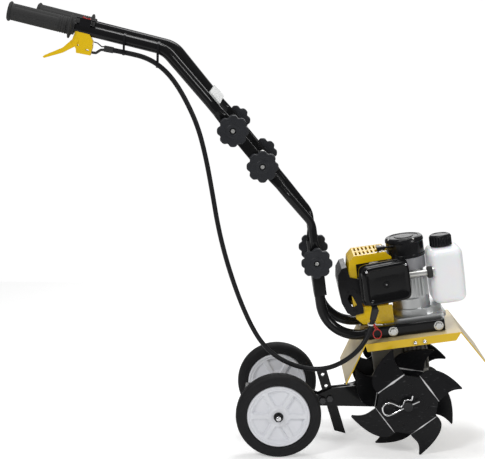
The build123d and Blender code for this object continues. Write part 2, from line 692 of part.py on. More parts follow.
with BuildPart() as rear_guard:
    with BuildSketch(to_right(0, 0, 0)):
        with BuildLine():
            Polyline((-62, 262), (-82, 268), (-86.5, 291), (-97, 289), (-106, 276), (-109, 254),
                     (-106, 215), (-97, 192), (-86, 184), (-62, 187), (-62, 262))
        make_face()
    extrude(amount=COVER_Y + 3, both=True)
    # Room for the cover, which the two cheeks clasp.
    with BuildSketch(to_right(0, 0, 0)):
        with BuildLine():
            Polyline((-50, 300), (-84.6, 300), (-84.6, 285), (-95, 283), (-101, 273), (-104, 254),
                     (-101, 217), (-94, 197), (-83, 190), (-80.4, 175), (-50, 175), (-50, 300))
        make_face()
    extrude(amount=COVER_Y + GAP, both=True, mode=Mode.SUBTRACT)
    with BuildSketch(to_right(0, 0, 0)):
        with Locations((-84, 217)):
            RectangleRounded(11, 28, 4, rotation=22)
    extrude(amount=60, both=True, mode=Mode.SUBTRACT)
    for sign in (-1, 1):
        with BuildSketch(to_right(0, sign * (COVER_Y + 3), 0)):
            with BuildLine():
                Polyline((-70, 236), (-78, 244), (-92, 236), (-99, 222), (-90, 200), (-78, 192), (-74, 193),
                         (-84, 203), (-93, 222), (-88, 232), (-78, 239), (-72, 232), (-70, 236))
            make_face()
        extrude(amount=-1.6 * sign)
save(rear_guard, "rear_guard")

MUFFLER_TURN = 13.0
muffler_at = base_point(-18, -51.5, 256)
muffler_out = Vector(0, -1, 0).rotate(Axis.Z, MUFFLER_TURN)
muffler_plane = Plane(origin=muffler_at, x_dir=FORWARD.rotate(Axis.Z, MUFFLER_TURN), z_dir=muffler_out)
with BuildPart() as muffler:
    with BuildSketch(muffler_plane.offset(11)):
        RectangleRounded(105, 86, 12)
    extrude(amount=15)
    with BuildSketch(muffler_plane.offset(26)):
        RectangleRounded(109, 90, 13)
    extrude(amount=3)
    with BuildSketch(muffler_plane.offset(29)):
        RectangleRounded(103, 84, 11)
    extrude(amount=18)
    fillet(muffler.faces().sort_by(Axis((0, 0, 0), muffler_out))[-1].edges(), 5)
    with BuildSketch(to_right(-20, -51, CYL_Z)):
        RectangleRounded(28, 22, 3)
    extrude(amount=13)
    with BuildSketch(muffler_plane.offset(45)):
        with Locations((0, -2)):
            Circle(6)
    extrude(amount=4, mode=Mode.SUBTRACT)
save(muffler, "muffler")

with BuildPart() as carburettor:
    with BuildSketch(to_right(-20, 51, CYL_Z)):
        RectangleRounded(34, 26, 4)
    extrude(amount=-8)
    with BuildSketch(to_right(-20, 59, CYL_Z)):
        RectangleRounded(38, 40, 5)
    extrude(amount=-30)
    with BuildSketch(level(-20, 74, CYL_Z + 18)):
        Circle(11)
    extrude(amount=16)
    with BuildSketch(to_right(-20, 51, CYL_Z)):
        Circle(8)
    extrude(amount=-38, mode=Mode.SUBTRACT)
save(carburettor, "carburettor")

with BuildPart() as air_filter_cover:
    with BuildSketch(to_right(-20, 89, CYL_Z + 2)):
        RectangleRounded(80, 76, 12)
    extrude(amount=-34)
    fillet(air_filter_cover.faces().sort_by(Axis.Y)[-1].edges(), 7)
    with BuildSketch(to_right(-20, 91, CYL_Z + 2)):
        RectangleRounded(74, 70, 10)
    extrude(amount=-28, mode=Mode.SUBTRACT)
    with BuildSketch(to_right(-20, 80, CYL_Z)):
        Circle(8)
    extrude(amount=-12, mode=Mode.SUBTRACT)
save(air_filter_cover, "air_filter_cover")

TANK_X, TANK_Z = 125.0, 241.0
TANK_L, TANK_W, TANK_H = 74.0, 98.0, 118.0
CAP_X = TANK_X - 3
with BuildPart() as fuel_tank:
    with BuildSketch(level(TANK_X, 0, TANK_Z - TANK_H / 2)):
        RectangleRounded(TANK_L, TANK_W, 18)
    extrude(amount=TANK_H)
    tank_ends = fuel_tank.faces().sort_by(Axis(SHAFT, UPWARD))
    fillet(tank_ends[0].edges() + tank_ends[-1].edges(), 13)
    with BuildSketch(level(CAP_X, 0, TANK_Z + TANK_H / 2 - 1)):
        Circle(18)
    extrude(amount=22)
    with BuildSketch(level(TANK_X, 0, TANK_Z - TANK_H / 2 + 3)):
        RectangleRounded(TANK_L - 26, TANK_W - 26, 8)
    extrude(amount=TANK_H - 6, mode=Mode.SUBTRACT)
    with BuildSketch(level(TANK_X, 0, TANK_Z - TANK_H / 2 + 13)):
        RectangleRounded(TANK_L - 6, TANK_W - 6, 15)
    extrude(amount=TANK_H - 26, mode=Mode.SUBTRACT)
    with BuildSketch(level(CAP_X, 0, TANK_Z + TANK_H / 2 - 12)):
        Circle(15)
    extrude(amount=40, mode=Mode.SUBTRACT)
save(fuel_tank, "fuel_tank")

with BuildPart() as fuel_cap:
    with BuildSketch(level(CAP_X, 0, TANK_Z + TANK_H / 2 + 1)):
        Circle(23)
        with PolarLocations(23, 24):
            Circle(1.2)
        Circle(18 + GAP, mode=Mode.SUBTRACT)
    extrude(amount=21)
    with BuildSketch(level(CAP_X, 0, TANK_Z + TANK_H / 2 + 22)):
        Circle(23)
    extrude(amount=4)
save(fuel_cap, "fuel_cap")

with BuildPart() as tank_mount:
    # A spacer tube on a lug of the crankcase, with a flange against the tank.
    with BuildSketch(to_front(32, -43, FAN_Z - 7)):
        Circle(6.5)
    extrude(amount=64)
    with BuildSketch(to_front(86, -43, FAN_Z - 7)):
        Circle(11)
    extrude(amount=10)
    with BuildSketch(level(TANK_X, 0, FAN_Z - 30)):
        RectangleRounded(TANK_L, TANK_W, 18)
    extrude(amount=60, mode=Mode.SUBTRACT)
    with BuildSketch(level(CRANK_X - 6, -39.5, FAN_Z - 13)):
        Rectangle(12, 7)
    extrude(amount=12)
save(tank_mount, "tank_mount")

# ---- clutch drum, gearbox and tine shaft -------------------------------------------
with BuildPart() as clutch_drum:
    with BuildSketch(level(CRANK_X, 0, CLUTCH_Z)):
        Circle(34.5)
    extrude(amount=24)
    with BuildSketch(level(CRANK_X, 0, CLUTCH_Z + 4)):
        Circle(31.5)
    extrude(amount=24, mode=Mode.SUBTRACT)
    with BuildSketch(level(CRANK_X, 0, CLUTCH_Z - 14)):
        Circle(9)
    extrude(amount=14)
    with BuildSketch(level(CRANK_X, 0, CLUTCH_Z - 14)):
        Circle(6)
    extrude(amount=18, mode=Mode.SUBTRACT)
save(clutch_drum, "clutch_drum")

WHEEL_GEAR_R, WORM_R = 34.0, CRANK_X - 34.0 - 0.5
with BuildPart() as worm_shaft:
    with BuildSketch(level(CRANK_X, 0, -34)):
        Circle(6)
    extrude(amount=CLUTCH_Z + 4 + 34)
    with BuildSketch(level(CRANK_X, 0, -22)):
        Circle(WORM_R)
    extrude(amount=44)
    for k in range(7):
        with BuildSketch(level(CRANK_X, 0, -20 + 6 * k)):
            Circle(WORM_R)
            Circle(WORM_R - 2.2, mode=Mode.SUBTRACT)
        extrude(amount=2.6, mode=Mode.SUBTRACT)
save(worm_shaft, "worm_shaft")

WORM_TEETH = 34
with BuildPart() as worm_wheel:
    with BuildSketch(to_right(0, 0, 0)):
        Circle(WHEEL_GEAR_R)
        with PolarLocations(WHEEL_GEAR_R, WORM_TEETH):
            Rectangle(4.4, 3.0, mode=Mode.SUBTRACT)
        Circle(TINE_SHAFT_R, mode=Mode.SUBTRACT)
    extrude(amount=8, both=True)
    with BuildSketch(to_right(0, 0, 0)):
        Circle(17)
        Circle(TINE_SHAFT_R, mode=Mode.SUBTRACT)
    extrude(amount=12, both=True)
save(worm_wheel, "worm_wheel")

with BuildPart() as tine_shaft:
    with BuildSketch(to_right(0, 0, 0)):
        Circle(TINE_SHAFT_R)
    extrude(amount=TINE_HALF_WIDTH, both=True)
    chamfer(tine_shaft.edges().filter_by(GeomType.CIRCLE), 1.2)
    for sign in (-1, 1):
        with BuildSketch(Plane(origin=(SHAFT_X, sign * 136.0, SHAFT_Z), x_dir=(0, 1, 0),
                               z_dir=(0.906, 0, 0.423))):
            Circle(2.0)
        extrude(amount=20, both=True, mode=Mode.SUBTRACT)
save(tine_shaft, "tine_shaft")

with BuildPart() as gearbox_housing:
    with BuildSketch(to_right(0, 0, 0)):
        with BuildLine():
            Polyline((12, DECK_Z), (12, 20), (12, -40), (-30, -44), (-62, -38), (-62, 18), (-52, 34),
                     (-54, DECK_Z), (12, DECK_Z))
        make_face()
        Circle(45)
    extrude(amount=24, both=True)
    # Worm column with vertical ribs.
    with BuildSketch(level(0, 0, 42)):
        with Locations((40, 0)):
            RectangleRounded(52, 54, 8)
        for k in range(6):
            with Locations((18 + 9 * k, 27.5), (18 + 9 * k, -27.5)):
                Rectangle(3, 5)
    extrude(amount=DECK_Z - 42)
    with BuildSketch(level(CRANK_X, 0, -42)):
        Circle(20)
    extrude(amount=88)
    with BuildSketch(level(0, 0, DECK_Z)):
        with Locations((20, 0)):
            RectangleRounded(150, 92, 10)
    extrude(amount=-6)
    # Cavities for the wheel and the worm, and the bores of both shafts.
    with BuildSketch(to_right(0, 0, 0)):
        Circle(WHEEL_GEAR_R + 3)
    extrude(amount=14, both=True, mode=Mode.SUBTRACT)
    with BuildSketch(to_right(0, 0, 0)):
        Circle(TINE_SHAFT_R + FIT)
    extrude(amount=40, both=True, mode=Mode.SUBTRACT)
    with BuildSketch(level(CRANK_X, 0, -26)):
        Circle(WORM_R + 1.5)
    extrude(amount=52, mode=Mode.SUBTRACT)
    with BuildSketch(level(CRANK_X, 0, -36)):
        Circle(6 + FIT)
    extrude(amount=200, mode=Mode.SUBTRACT)
save(gearbox_housing, "gearbox_housing")

# ---- tines --------------------------------------------------------------------------
TIP_PHASE = 15.0           # angle of the outer star's first tip, above forward
FOLD_R = 55.0              # distance of a blade's fold from the shaft
TIP_BACK = 22.2            # a tip lies this far behind its fold's normal
BLADE_BEND = 16.0


def tine_star(y, phase, inward):
    """Four sickle blades bent sideways from a square plate, at distance y across the machine."""
    pieces = []
    with BuildPart() as plate:
        with BuildSketch(Plane(origin=(SHAFT_X, y, SHAFT_Z), x_dir=(1, 0, 0), z_dir=(0, -1, 0))):
            corners = []
            for k in range(4):
                angle = math.radians(phase + TIP_BACK + 90 * k)
                along, over = (math.cos(angle), math.sin(angle)), (-math.sin(angle), math.cos(angle))
                for v in (-33, 33):
                    corners.append((FOLD_R * along[0] + v * over[0], FOLD_R * along[1] + v * over[1]))
            Polygon(*corners, align=None)
        extrude(amount=TINE_T / 2, both=True)
    pieces.append(plate.part)
    bend = math.radians(BLADE_BEND)
    for k in range(4):
        angle = math.radians(phase + TIP_BACK + 90 * k)
        out = Vector(math.cos(angle), 0, math.sin(angle))
        trailing = Vector(math.sin(angle), 0, -math.cos(angle))
        rise = out * math.cos(bend) + Vector(0, inward, 0) * math.sin(bend)
        fold = Vector(SHAFT_X, y, SHAFT_Z) + out * FOLD_R
        blade_plane = Plane(origin=fold, x_dir=trailing, z_dir=trailing.cross(rise))
        reach = (TINE_R * math.cos(math.radians(TIP_BACK)) - FOLD_R) / math.cos(bend)
        tip_v = TINE_R * math.sin(math.radians(TIP_BACK))
        with BuildPart() as blade:
            with BuildSketch(blade_plane):
                with BuildLine():
                    Line((-33, -2), (-37, 32))
                    ThreePointArc((-37, 32), (5, 0.97 * reach), (tip_v, reach))
                    ThreePointArc((tip_v, reach), (24, 33), (31, 14))
                    Line((31, 14), (33, -2))
                    Line((33, -2), (-33, -2))
                make_face()
            extrude(amount=TINE_T / 2, both=True)
        pieces.append(blade.part)
    return pieces


for side, sign in SIDES:
    with BuildPart() as tine_set:
        with BuildSketch(Plane(origin=(SHAFT_X, sign * 30.0, SHAFT_Z), x_dir=(1, 0, 0),
                               z_dir=(0, sign, 0))):
            Circle(15)
        extrude(amount=100)
        for star_y, phase, inward in ((58, TIP_PHASE - 45, sign), (124, TIP_PHASE, -sign)):
            for piece in tine_star(sign * star_y, phase, inward):
                add(piece)
        with BuildSketch(to_right(0, 0, 0)):
            Circle(TINE_SHAFT_R)
        extrude(amount=200, both=True, mode=Mode.SUBTRACT)
    save(tine_set, f"tine_set_{side}")

with BuildPart() as r_clips:
    for sign in (-1, 1):
        pull = Vector(-0.906, 0, -0.423)
        lift = Vector(-0.423, 0, 0.906)
        at = Vector(SHAFT_X, sign * 136.0, SHAFT_Z)
        route = [at - pull * 26, at + pull * 28, at + pull * 44 - lift * 4, at + pull * 52 + lift * 8,
                 at + pull * 40 + lift * 17, at + pull * 20 + lift * 12.4, at + pull * 12 + lift * 9,
                 at + pull * 5 + lift * 13.2, at - pull * 9 + lift * 13.4, at - pull * 16 + lift * 10,
                 at - pull * 24 + lift * 16]
        with BuildLine() as clip_path:
            FilletPolyline(*route, radius=5.0)
        with BuildSketch(Plane(clip_path.line @ 0, z_dir=clip_path.line % 0)):
            Circle(1.7)
        sweep(path=clip_path.line)
save(r_clips, "r_clips")

# ---- mudguard ------------------------------------------------------------------------
with BuildPart() as mudguard:
    with BuildSketch(to_right(0, 0, 0)):
        with BuildLine():
            Polyline((-121, 52), (-70, DECK_Z + SHEET), (133, DECK_Z + SHEET), (184, 48), (182, 46.7),
                     (131.6, DECK_Z), (-68.8, DECK_Z), (-119, 50.5), (-121, 52))
        make_face()
    extrude(amount=DECK_Y, both=True)
    for sign in (-1, 1):
        with BuildSketch(to_right(0, sign * DECK_Y, 0)):
            with BuildLine():
                Polyline((-70, DECK_Z + SHEET), (-67, 115), (120, 115), (131, DECK_Z), (106, DECK_Z + SHEET),
                         (-70, DECK_Z + SHEET))
            make_face()
        extrude(amount=SHEET * sign)
    with BuildSketch(level(0, 0, DECK_Z)):
        with Locations((CRANK_X, 0)):
            Circle(13)
    extrude(amount=5, mode=Mode.SUBTRACT)
save(mudguard, "mudguard")

# ---- rear: hitch arm, depth stake, wheel carrier -----------------------------------------
STAKE_PIVOT = (160.0, 90.5)
CARRIER_PIVOT = (144.0, 87.0)
CHEEK_IN, CHEEK_OUT = 5.0, 11.0
with BuildPart() as hitch_arm:
    with BuildSketch(upright(0, 0, 0)):
        with BuildLine():
            front_low = base_point(-62, 0, -36)
            front_high = base_point(-62, 0, 17)
            Polyline((132, 74), (132, 98), (162, 113), (front_high.X, front_high.Z),
                     (front_low.X, front_low.Z), (132, 74))
        make_face()
    extrude(amount=CHEEK_OUT, both=True)
    with BuildSketch(upright(0, 0, 0)):
        with Locations((165, 100)):
            Rectangle(78, 80)
    extrude(amount=CHEEK_IN, both=True, mode=Mode.SUBTRACT)
    with BuildSketch(upright(0, 0, 0)):
        with Locations(STAKE_PIVOT, CARRIER_PIVOT):
            Circle(BOLT_R + FIT)
    extrude(amount=40, both=True, mode=Mode.SUBTRACT)
save(hitch_arm, "hitch_arm")

STAKE_LEAN = 16.8
lean = math.radians(STAKE_LEAN)
stake_down = Vector(math.sin(lean), 0, -math.cos(lean))
stake_plane = Plane(origin=(STAKE_PIVOT[0], 0, STAKE_PIVOT[1]), x_dir=stake_down, z_dir=(0, -1, 0))
with BuildPart() as depth_stake:
    with BuildSketch(stake_plane):
        Polygon((-70, -11), (76, -11), (90, 11), (-70, 11), align=None)
    extrude(amount=4, both=True)
    with BuildSketch(stake_plane):
        Circle(BOLT_R + FIT)
        with Locations((-27, 0), (-54, 0)):
            Circle(4)
    extrude(amount=20, both=True, mode=Mode.SUBTRACT)
save(depth_stake, "depth_stake")

with BuildPart() as frame_bolts:
    for side, sign in SIDES:
        add(knob_bolt(HINGE_LOW[0], HINGE_LOW[1], sign, LOWER_Y - TUBE_R - 0.1, LOW_TIP))
        for x in (-6.5, 90.0):
            start = Plane(origin=base_point(x, sign * (LOWER_Y + RAIL_W / 2), RAIL_Z), x_dir=FORWARD,
                          z_dir=(0, sign, 0))
            with BuildSketch(start):
                Circle(10.2)
            extrude(amount=2)
            with BuildSketch(start.offset(2)):
                RegularPolygon(7.5, 6)
            extrude(amount=5.5)
            with BuildSketch(start):
                Circle(BOLT_R)
            extrude(amount=-44)
    for x, z, half in (STAKE_PIVOT + (CHEEK_OUT,), CARRIER_PIVOT + (CHEEK_OUT + 3 + 2 * GAP,)):
        with BuildSketch(upright(x, -half, z)):
            RegularPolygon(7.5, 6)
        extrude(amount=5.5)
        with BuildSketch(upright(x, -half, z)):
            Circle(BOLT_R)
        extrude(amount=-2 * half)
        with BuildSketch(upright(x, half, z)):
            RegularPolygon(7.5, 6)
        extrude(amount=-6.5)
save(frame_bolts, "frame_bolts")

ARM_IN = CHEEK_OUT + GAP
with BuildPart() as wheel_carrier:
    # A folded channel from the pivot back past the axle, open below.
    with BuildSketch(upright(0, 0, 0)):
        with BuildLine():
            Polyline((144, 79), (144, 95), (98, 112), (30, 118), (-24, 118), (-28, 104), (18, 82),
                     (48, 76), (100, 78), (144, 79))
        make_face()
        with Locations(CARRIER_PIVOT):
            Circle(8)
    extrude(amount=ARM_IN + 3, both=True)
    with BuildSketch(upright(0, 0, 0)):
        with BuildLine():
            Polyline((200, 60), (200, 200), (94, 200), (94, 109.5), (30, 115), (-40, 115),
                     (-40, 60), (200, 60))
        make_face()
    extrude(amount=ARM_IN, both=True, mode=Mode.SUBTRACT)
    with BuildSketch(upright(*CARRIER_PIVOT[:1], 0, CARRIER_PIVOT[1])):
        Circle(BOLT_R + FIT)
    extrude(amount=40, both=True, mode=Mode.SUBTRACT)
    with BuildSketch(upright(WHEEL_X, 0, WHEEL_R)):
        Circle(AXLE_R)
    extrude(amount=WHEEL_Y + 24, both=True)
    for sign in (-1, 1):
        with BuildSketch(Plane(origin=(WHEEL_X, sign * (ARM_IN + 3), WHEEL_R), x_dir=(1, 0, 0),
                               z_dir=(0, sign, 0))):
            Circle(10)
        extrude(amount=WHEEL_Y - 15 - GAP - ARM_IN - 3)
        with BuildSketch(Plane(origin=(WHEEL_X, sign * (WHEEL_Y + 15 + GAP), WHEEL_R), x_dir=(1, 0, 0),
                               z_dir=(0, sign, 0))):
            Circle(10)
        extrude(amount=2)
        with BuildSketch(Plane(origin=(WHEEL_X, sign * (WHEEL_Y + 17 + GAP), WHEEL_R), x_dir=(1, 0, 0),
                               z_dir=(0, sign, 0))):
            RegularPolygon(9, 6)
        extrude(amount=6)
save(wheel_carrier, "wheel_carrier")

POCKETS = 6
for side, sign in SIDES:
    start = Plane(origin=(WHEEL_X, sign * (WHEEL_Y - 15), WHEEL_R), x_dir=(1, 0, 0), z_dir=(0, sign, 0))
    with BuildPart() as wheel_rim:
        with BuildSketch(start.offset(2)):
            Circle(RIM_R)
        extrude(amount=26)
        for face, amount in ((start.offset(2), 10), (start.offset(28), -10)):
            with BuildSketch(face):
                Circle(RIM_R - 5)
                Circle(16, mode=Mode.SUBTRACT)
            extrude(amount=amount, mode=Mode.SUBTRACT)
            # Spokes stand between the pockets.
            with BuildSketch(face):
                with PolarLocations(38, POCKETS):
                    Rectangle(48, 9)
            extrude(amount=amount)
        with BuildSketch(start):
            Circle(15)
        extrude(amount=30)
        with BuildSketch(start):
            Circle(AXLE_R + FIT)
        extrude(amount=30, mode=Mode.SUBTRACT)
    save(wheel_rim, f"wheel_rim_{side}")

    with BuildPart() as tyre:
        with BuildSketch(Plane(origin=(WHEEL_X, 0, WHEEL_R), x_dir=(0, sign, 0), z_dir=(sign, 0, 0))):
            with BuildLine():
                Polyline((WHEEL_Y - 14, RIM_R), (WHEEL_Y - 16, RIM_R + 4), (WHEEL_Y - 16, WHEEL_R - 8),
                         (WHEEL_Y - 9, WHEEL_R), (WHEEL_Y + 9, WHEEL_R), (WHEEL_Y + 16, WHEEL_R - 8),
                         (WHEEL_Y + 16, RIM_R + 4), (WHEEL_Y + 14, RIM_R), (WHEEL_Y - 14, RIM_R))
            make_face()
        revolve(axis=Axis((WHEEL_X, 0, WHEEL_R), (0, 1, 0)))
    save(tyre, f"tyre_{side}")
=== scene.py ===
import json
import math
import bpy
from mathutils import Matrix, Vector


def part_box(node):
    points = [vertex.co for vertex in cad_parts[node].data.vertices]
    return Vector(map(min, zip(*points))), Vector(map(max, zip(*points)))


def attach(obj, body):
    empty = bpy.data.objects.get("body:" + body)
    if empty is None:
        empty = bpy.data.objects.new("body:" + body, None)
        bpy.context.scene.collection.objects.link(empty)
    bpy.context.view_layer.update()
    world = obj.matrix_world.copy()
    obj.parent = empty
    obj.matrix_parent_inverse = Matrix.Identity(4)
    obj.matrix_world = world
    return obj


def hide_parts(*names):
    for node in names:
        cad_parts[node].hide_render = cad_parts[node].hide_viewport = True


bl_info = {
    "name": "Mini tiller",
    "version": (1, 0, 0),
    "blender": (4, 5, 0),
    "location": "View3D > Sidebar > Tiller",
    "description": "Skins, finishes and studio for a small petrol tiller",
    "category": "Object",
}

import bmesh
import bpy
import numpy as np
from bpy.props import FloatProperty, FloatVectorProperty, IntProperty, PointerProperty
from mathutils import Vector

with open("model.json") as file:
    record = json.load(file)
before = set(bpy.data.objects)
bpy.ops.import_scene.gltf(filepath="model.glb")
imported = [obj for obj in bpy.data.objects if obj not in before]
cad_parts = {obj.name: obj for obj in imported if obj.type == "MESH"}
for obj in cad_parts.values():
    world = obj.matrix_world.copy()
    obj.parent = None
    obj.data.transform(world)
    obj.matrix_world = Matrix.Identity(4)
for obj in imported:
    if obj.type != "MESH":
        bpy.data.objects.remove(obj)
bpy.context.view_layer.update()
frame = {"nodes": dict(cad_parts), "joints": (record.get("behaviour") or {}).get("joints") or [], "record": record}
JOINTS = {joint["name"]: joint for joint in frame["joints"]}
MM = 0.001
SIDES = (("right", -1), ("left", 1))

# ---- places taken from the frame ---------------------------------------------------------------------
UPWARD = np.array(JOINTS["crank_turn"]["axis"])          # the engine's own upright
FORWARD = np.array((UPWARD[2], 0.0, -UPWARD[0]))
LEFT = np.array((0.0, 1.0, 0.0))
SHAFT = np.array(JOINTS["tine_turn"]["pos_m"])
CRANK_X = 45.0                                           # the crank, forward of the shaft
START_Z = 290.0                                          # foot of the recoil cover, up from the shaft
TINE_PHASE, TINE_BACK = 15.0, 22.2                       # degrees: an outer tip, and its fold behind it
FOLD_R, TIP_R, BLADE_T = 55.0, 120.0, 5.0                # a blade's fold, its tip and its thickness
TANK = (125.0, 241.0, 74.0, 98.0, 118.0)                 # x, z, length, width, height on the deck
HANDLE_BEND = (-183.0, 136.0, 850.0)
HANDLE_END = (-480.0, 150.0, 924.0)


def deck(x, y, z):
    """A place on the leaning deck in metres, from millimetres forward, left and up of the tine shaft."""
    return SHAFT + (FORWARD * x + LEFT * y + UPWARD * z) * MM


def unit(vector):
    """The vector at length one."""
    vector = np.asarray(vector, float)
    return vector / np.linalg.norm(vector)


# ---- surfaces ----------------------------------------------------------------------------------------
def place(local, origin, ex, ey, ez):
    """Local millimetres to metres: origin + x ex + y ey + z ez."""
    return np.asarray(origin) + (np.asarray(local, float) @ np.array((ex, ey, ez))) * MM


def skin(name, points, loop_u=False, loop_v=True, crease=38.0, bevel=0.0):
    """A grid of points[u, v] joined by quads, wrapped round v (and u), with its open ends closed."""
    nu, nv = points.shape[:2]
    index = np.arange(nu * nv).reshape(nu, nv)
    below, above = (index, np.roll(index, -1, 0)) if loop_u else (index[:-1], index[1:])
    if loop_v:
        quads = (below, np.roll(below, -1, 1), np.roll(above, -1, 1), above)
    else:
        quads = (below[:, :-1], below[:, 1:], above[:, 1:], above[:, :-1])
    faces = np.stack(quads, -1).reshape(-1, 4).tolist()
    if not loop_u and loop_v:
        faces += [index[0][::-1].tolist(), index[-1].tolist()]
    mesh = bpy.data.meshes.new(name)
    mesh.from_pydata(points.reshape(-1, 3).tolist(), [], faces)
    return finish_mesh(name, mesh, crease, bevel)


def finish_mesh(name, mesh, crease=38.0, bevel=0.0, tidy=False):
    """Merges a mesh's doubles, turns its faces outwards, shades it smooth and makes its object."""
    shell = bmesh.new()
    shell.from_mesh(mesh)
    bmesh.ops.remove_doubles(shell, verts=shell.verts, dist=2e-6)
    if tidy:
        bmesh.ops.dissolve_limit(shell, angle_limit=math.radians(1.0), verts=shell.verts, edges=shell.edges)
    bmesh.ops.recalc_face_normals(shell, faces=shell.faces)
    shell.to_mesh(mesh)
    shell.free()
    mesh.shade_smooth()
    mesh.set_sharp_from_angle(angle=math.radians(crease))
    piece = bpy.data.objects.new(name, mesh)
    bpy.context.scene.collection.objects.link(piece)
    if bevel:
        rounding = piece.modifiers.new("Rounding", "BEVEL")
        rounding.width = bevel * MM
        rounding.segments = 2
        rounding.limit_method = "ANGLE"
        rounding.angle_limit = math.radians(32)
        rounding.harden_normals = True
    return piece


def turned(name, profile, origin, axis, segments=96, wave=None, closed=False, bevel=0.0):
    """A lathe surface: each (along, radius) of the profile swept round the axis, with the radius
    changed by wave(angle, along, radius) where one is given."""
    axis = unit(axis)
    side = unit(np.cross(axis, (0.31, 0.87, 0.13)))
    across = np.cross(axis, side)
    profile = np.asarray(profile, float)
    angle = np.linspace(0, 2 * math.pi, segments, endpoint=False)
    along, turn = np.meshgrid(profile[:, 0], angle, indexing="ij")
    radius = np.repeat(profile[:, 1:2], segments, 1)
    if wave:
        radius = radius + wave(turn, along, radius)
    local = np.stack((radius * np.cos(turn), radius * np.sin(turn), along), -1)
    return skin(name, place(local, origin, side, across, axis), loop_u=closed, bevel=bevel)


def boxed(name, profile, half, origin, ex, ey, ez, power=6.0, segments=120, bevel=0.0):
    """A pressed shell: for each (inset, height) of the profile, the rounded rectangle
    |x/a|^n + |y/b|^n = 1 with a and b smaller by the inset, carried to that height."""
    profile = np.asarray(profile, float)
    angle = np.linspace(0, 2 * math.pi, segments, endpoint=False)
    inset, turn = np.meshgrid(profile[:, 0], angle, indexing="ij")
    height = np.repeat(profile[:, 1:2], segments, 1)
    cos, sin = np.cos(turn), np.sin(turn)
    x = np.maximum(half[0] - inset, 0.01) * np.sign(cos) * np.abs(cos) ** (2 / power)
    y = np.maximum(half[1] - inset, 0.01) * np.sign(sin) * np.abs(sin) ** (2 / power)
    return skin(name, place(np.stack((x, y, height), -1), origin, ex, ey, ez), bevel=bevel)


def tube(name, path, radius, loop=False, segments=14):
    """A round wire: a circle of the radius carried along the path, square to it at each point."""
    path = np.asarray(path, float)
    ahead = np.roll(path, -1, 0) - np.roll(path, 1, 0) if loop else np.gradient(path, axis=0)
    ahead /= np.linalg.norm(ahead, axis=1)[:, None]
    normal = unit(np.cross(ahead[0], (0.2, 0.5, 0.84)))
    sides = np.empty_like(path)
    for k, tangent in enumerate(ahead):
        normal = unit(normal - tangent * (normal @ tangent))
        sides[k] = normal
    binormal = np.cross(ahead, sides)
    angle = np.linspace(0, 2 * math.pi, segments, endpoint=False)
    ring = np.cos(angle)[None, :, None] * sides[:, None] + np.sin(angle)[None, :, None] * binormal[:, None]
    return skin(name, path[:, None] + ring * radius * MM, loop_u=loop, crease=60)


def softened(node, bevel, tidy=True):
    """A copy of a CAD node with its edges rounded, standing for it."""
    piece = finish_mesh(f"{node}_skin", frame["nodes"][node].data.copy(), 30.0, bevel, tidy)
    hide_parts(node)
    return piece


def fit(piece, body, finish):
    """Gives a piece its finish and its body."""
    piece.data.materials.clear()
    piece.data.materials.append(material(finish))
    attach(piece, body)
    return piece


# ---- finishes ----------------------------------------------------------------------------------------
class Wire:
    """One socket of a shader tree. Arithmetic on it adds Math nodes."""

    def __init__(self, tree, socket):
        self.tree, self.socket = tree, socket

    def math(self, operation, first, second=0.0):
        node = self.tree.nodes.new("ShaderNodeMath")
        node.operation = operation
        for value, slot in ((first, node.inputs[0]), (second, node.inputs[1])):
            if isinstance(value, Wire):
                self.tree.links.new(value.socket, slot)
            else:
                slot.default_value = value
        return Wire(self.tree, node.outputs[0])

    def __add__(self, other):
        return self.math("ADD", self, other)

    def __sub__(self, other):
        return self.math("SUBTRACT", self, other)

    def __rsub__(self, other):
        return self.math("SUBTRACT", other, self)

    def __mul__(self, other):
        return self.math("MULTIPLY", self, other)

    def __gt__(self, other):
        return self.math("GREATER_THAN", self, other)

    __radd__, __rmul__ = __add__, __mul__


class Finish:
    """One material: a Principled shader and the nodes that feed it."""

    def __init__(self, name):
        self.material = bpy.data.materials.new(name)
        self.material.use_nodes = True
        self.tree = self.material.node_tree
        self.tree.nodes.clear()
        output = self.tree.nodes.new("ShaderNodeOutputMaterial")
        self.shader = self.tree.nodes.new("ShaderNodeBsdfPrincipled")
        self.tree.links.new(self.shader.outputs[0], output.inputs[0])
        self.place = self.node("ShaderNodeTexCoord", output="Object")

    def node(self, kind, settings=None, output=0, **sockets):
        """Adds a node: settings first, then the values or wires of its sockets."""
        node = self.tree.nodes.new(kind)
        for name, value in (settings or {}).items():
            setattr(node, name, value)
        for name, value in sockets.items():
            slot = node.inputs[int(name[1:])] if name[0] == "i" and name[1:].isdigit() else node.inputs[name]
            if isinstance(value, Wire):
                self.tree.links.new(value.socket, slot)
            else:
                slot.default_value = value
        return Wire(self.tree, node.outputs[output])

    def noise(self, scale, detail=3.0, stretch=None):
        """Clouds of the given count per metre, stretched along an axis where asked."""
        at = self.place
        if stretch:
            at = self.node("ShaderNodeMapping", i0=at, Scale=stretch)
        return self.node("ShaderNodeTexNoise", None, "Fac", Vector=at, Scale=scale, Detail=detail)

    def blend(self, factor, first, second):
        """A colour between two, by the factor."""
        return self.node("ShaderNodeMix", {"data_type": "RGBA"}, 2, i0=factor, i6=first, i7=second)

    def put(self, **sockets):
        """Sets or links the shader's sockets. Underscores stand for spaces."""
        for name, value in sockets.items():
            slot = self.shader.inputs[name.replace("_", " ")]
            if isinstance(value, Wire):
                self.tree.links.new(value.socket, slot)
            else:
                slot.default_value = value

    def bump(self, height, strength, distance=0.0004):
        """A Normal from a height."""
        self.put(Normal=self.node("ShaderNodeBump", Strength=strength, Distance=distance, Height=height))


def tone(colour, factor=1.0):
    """A colour with alpha, made lighter or darker."""
    return tuple(min(1.0, c * factor) for c in colour[:3]) + (1.0,)


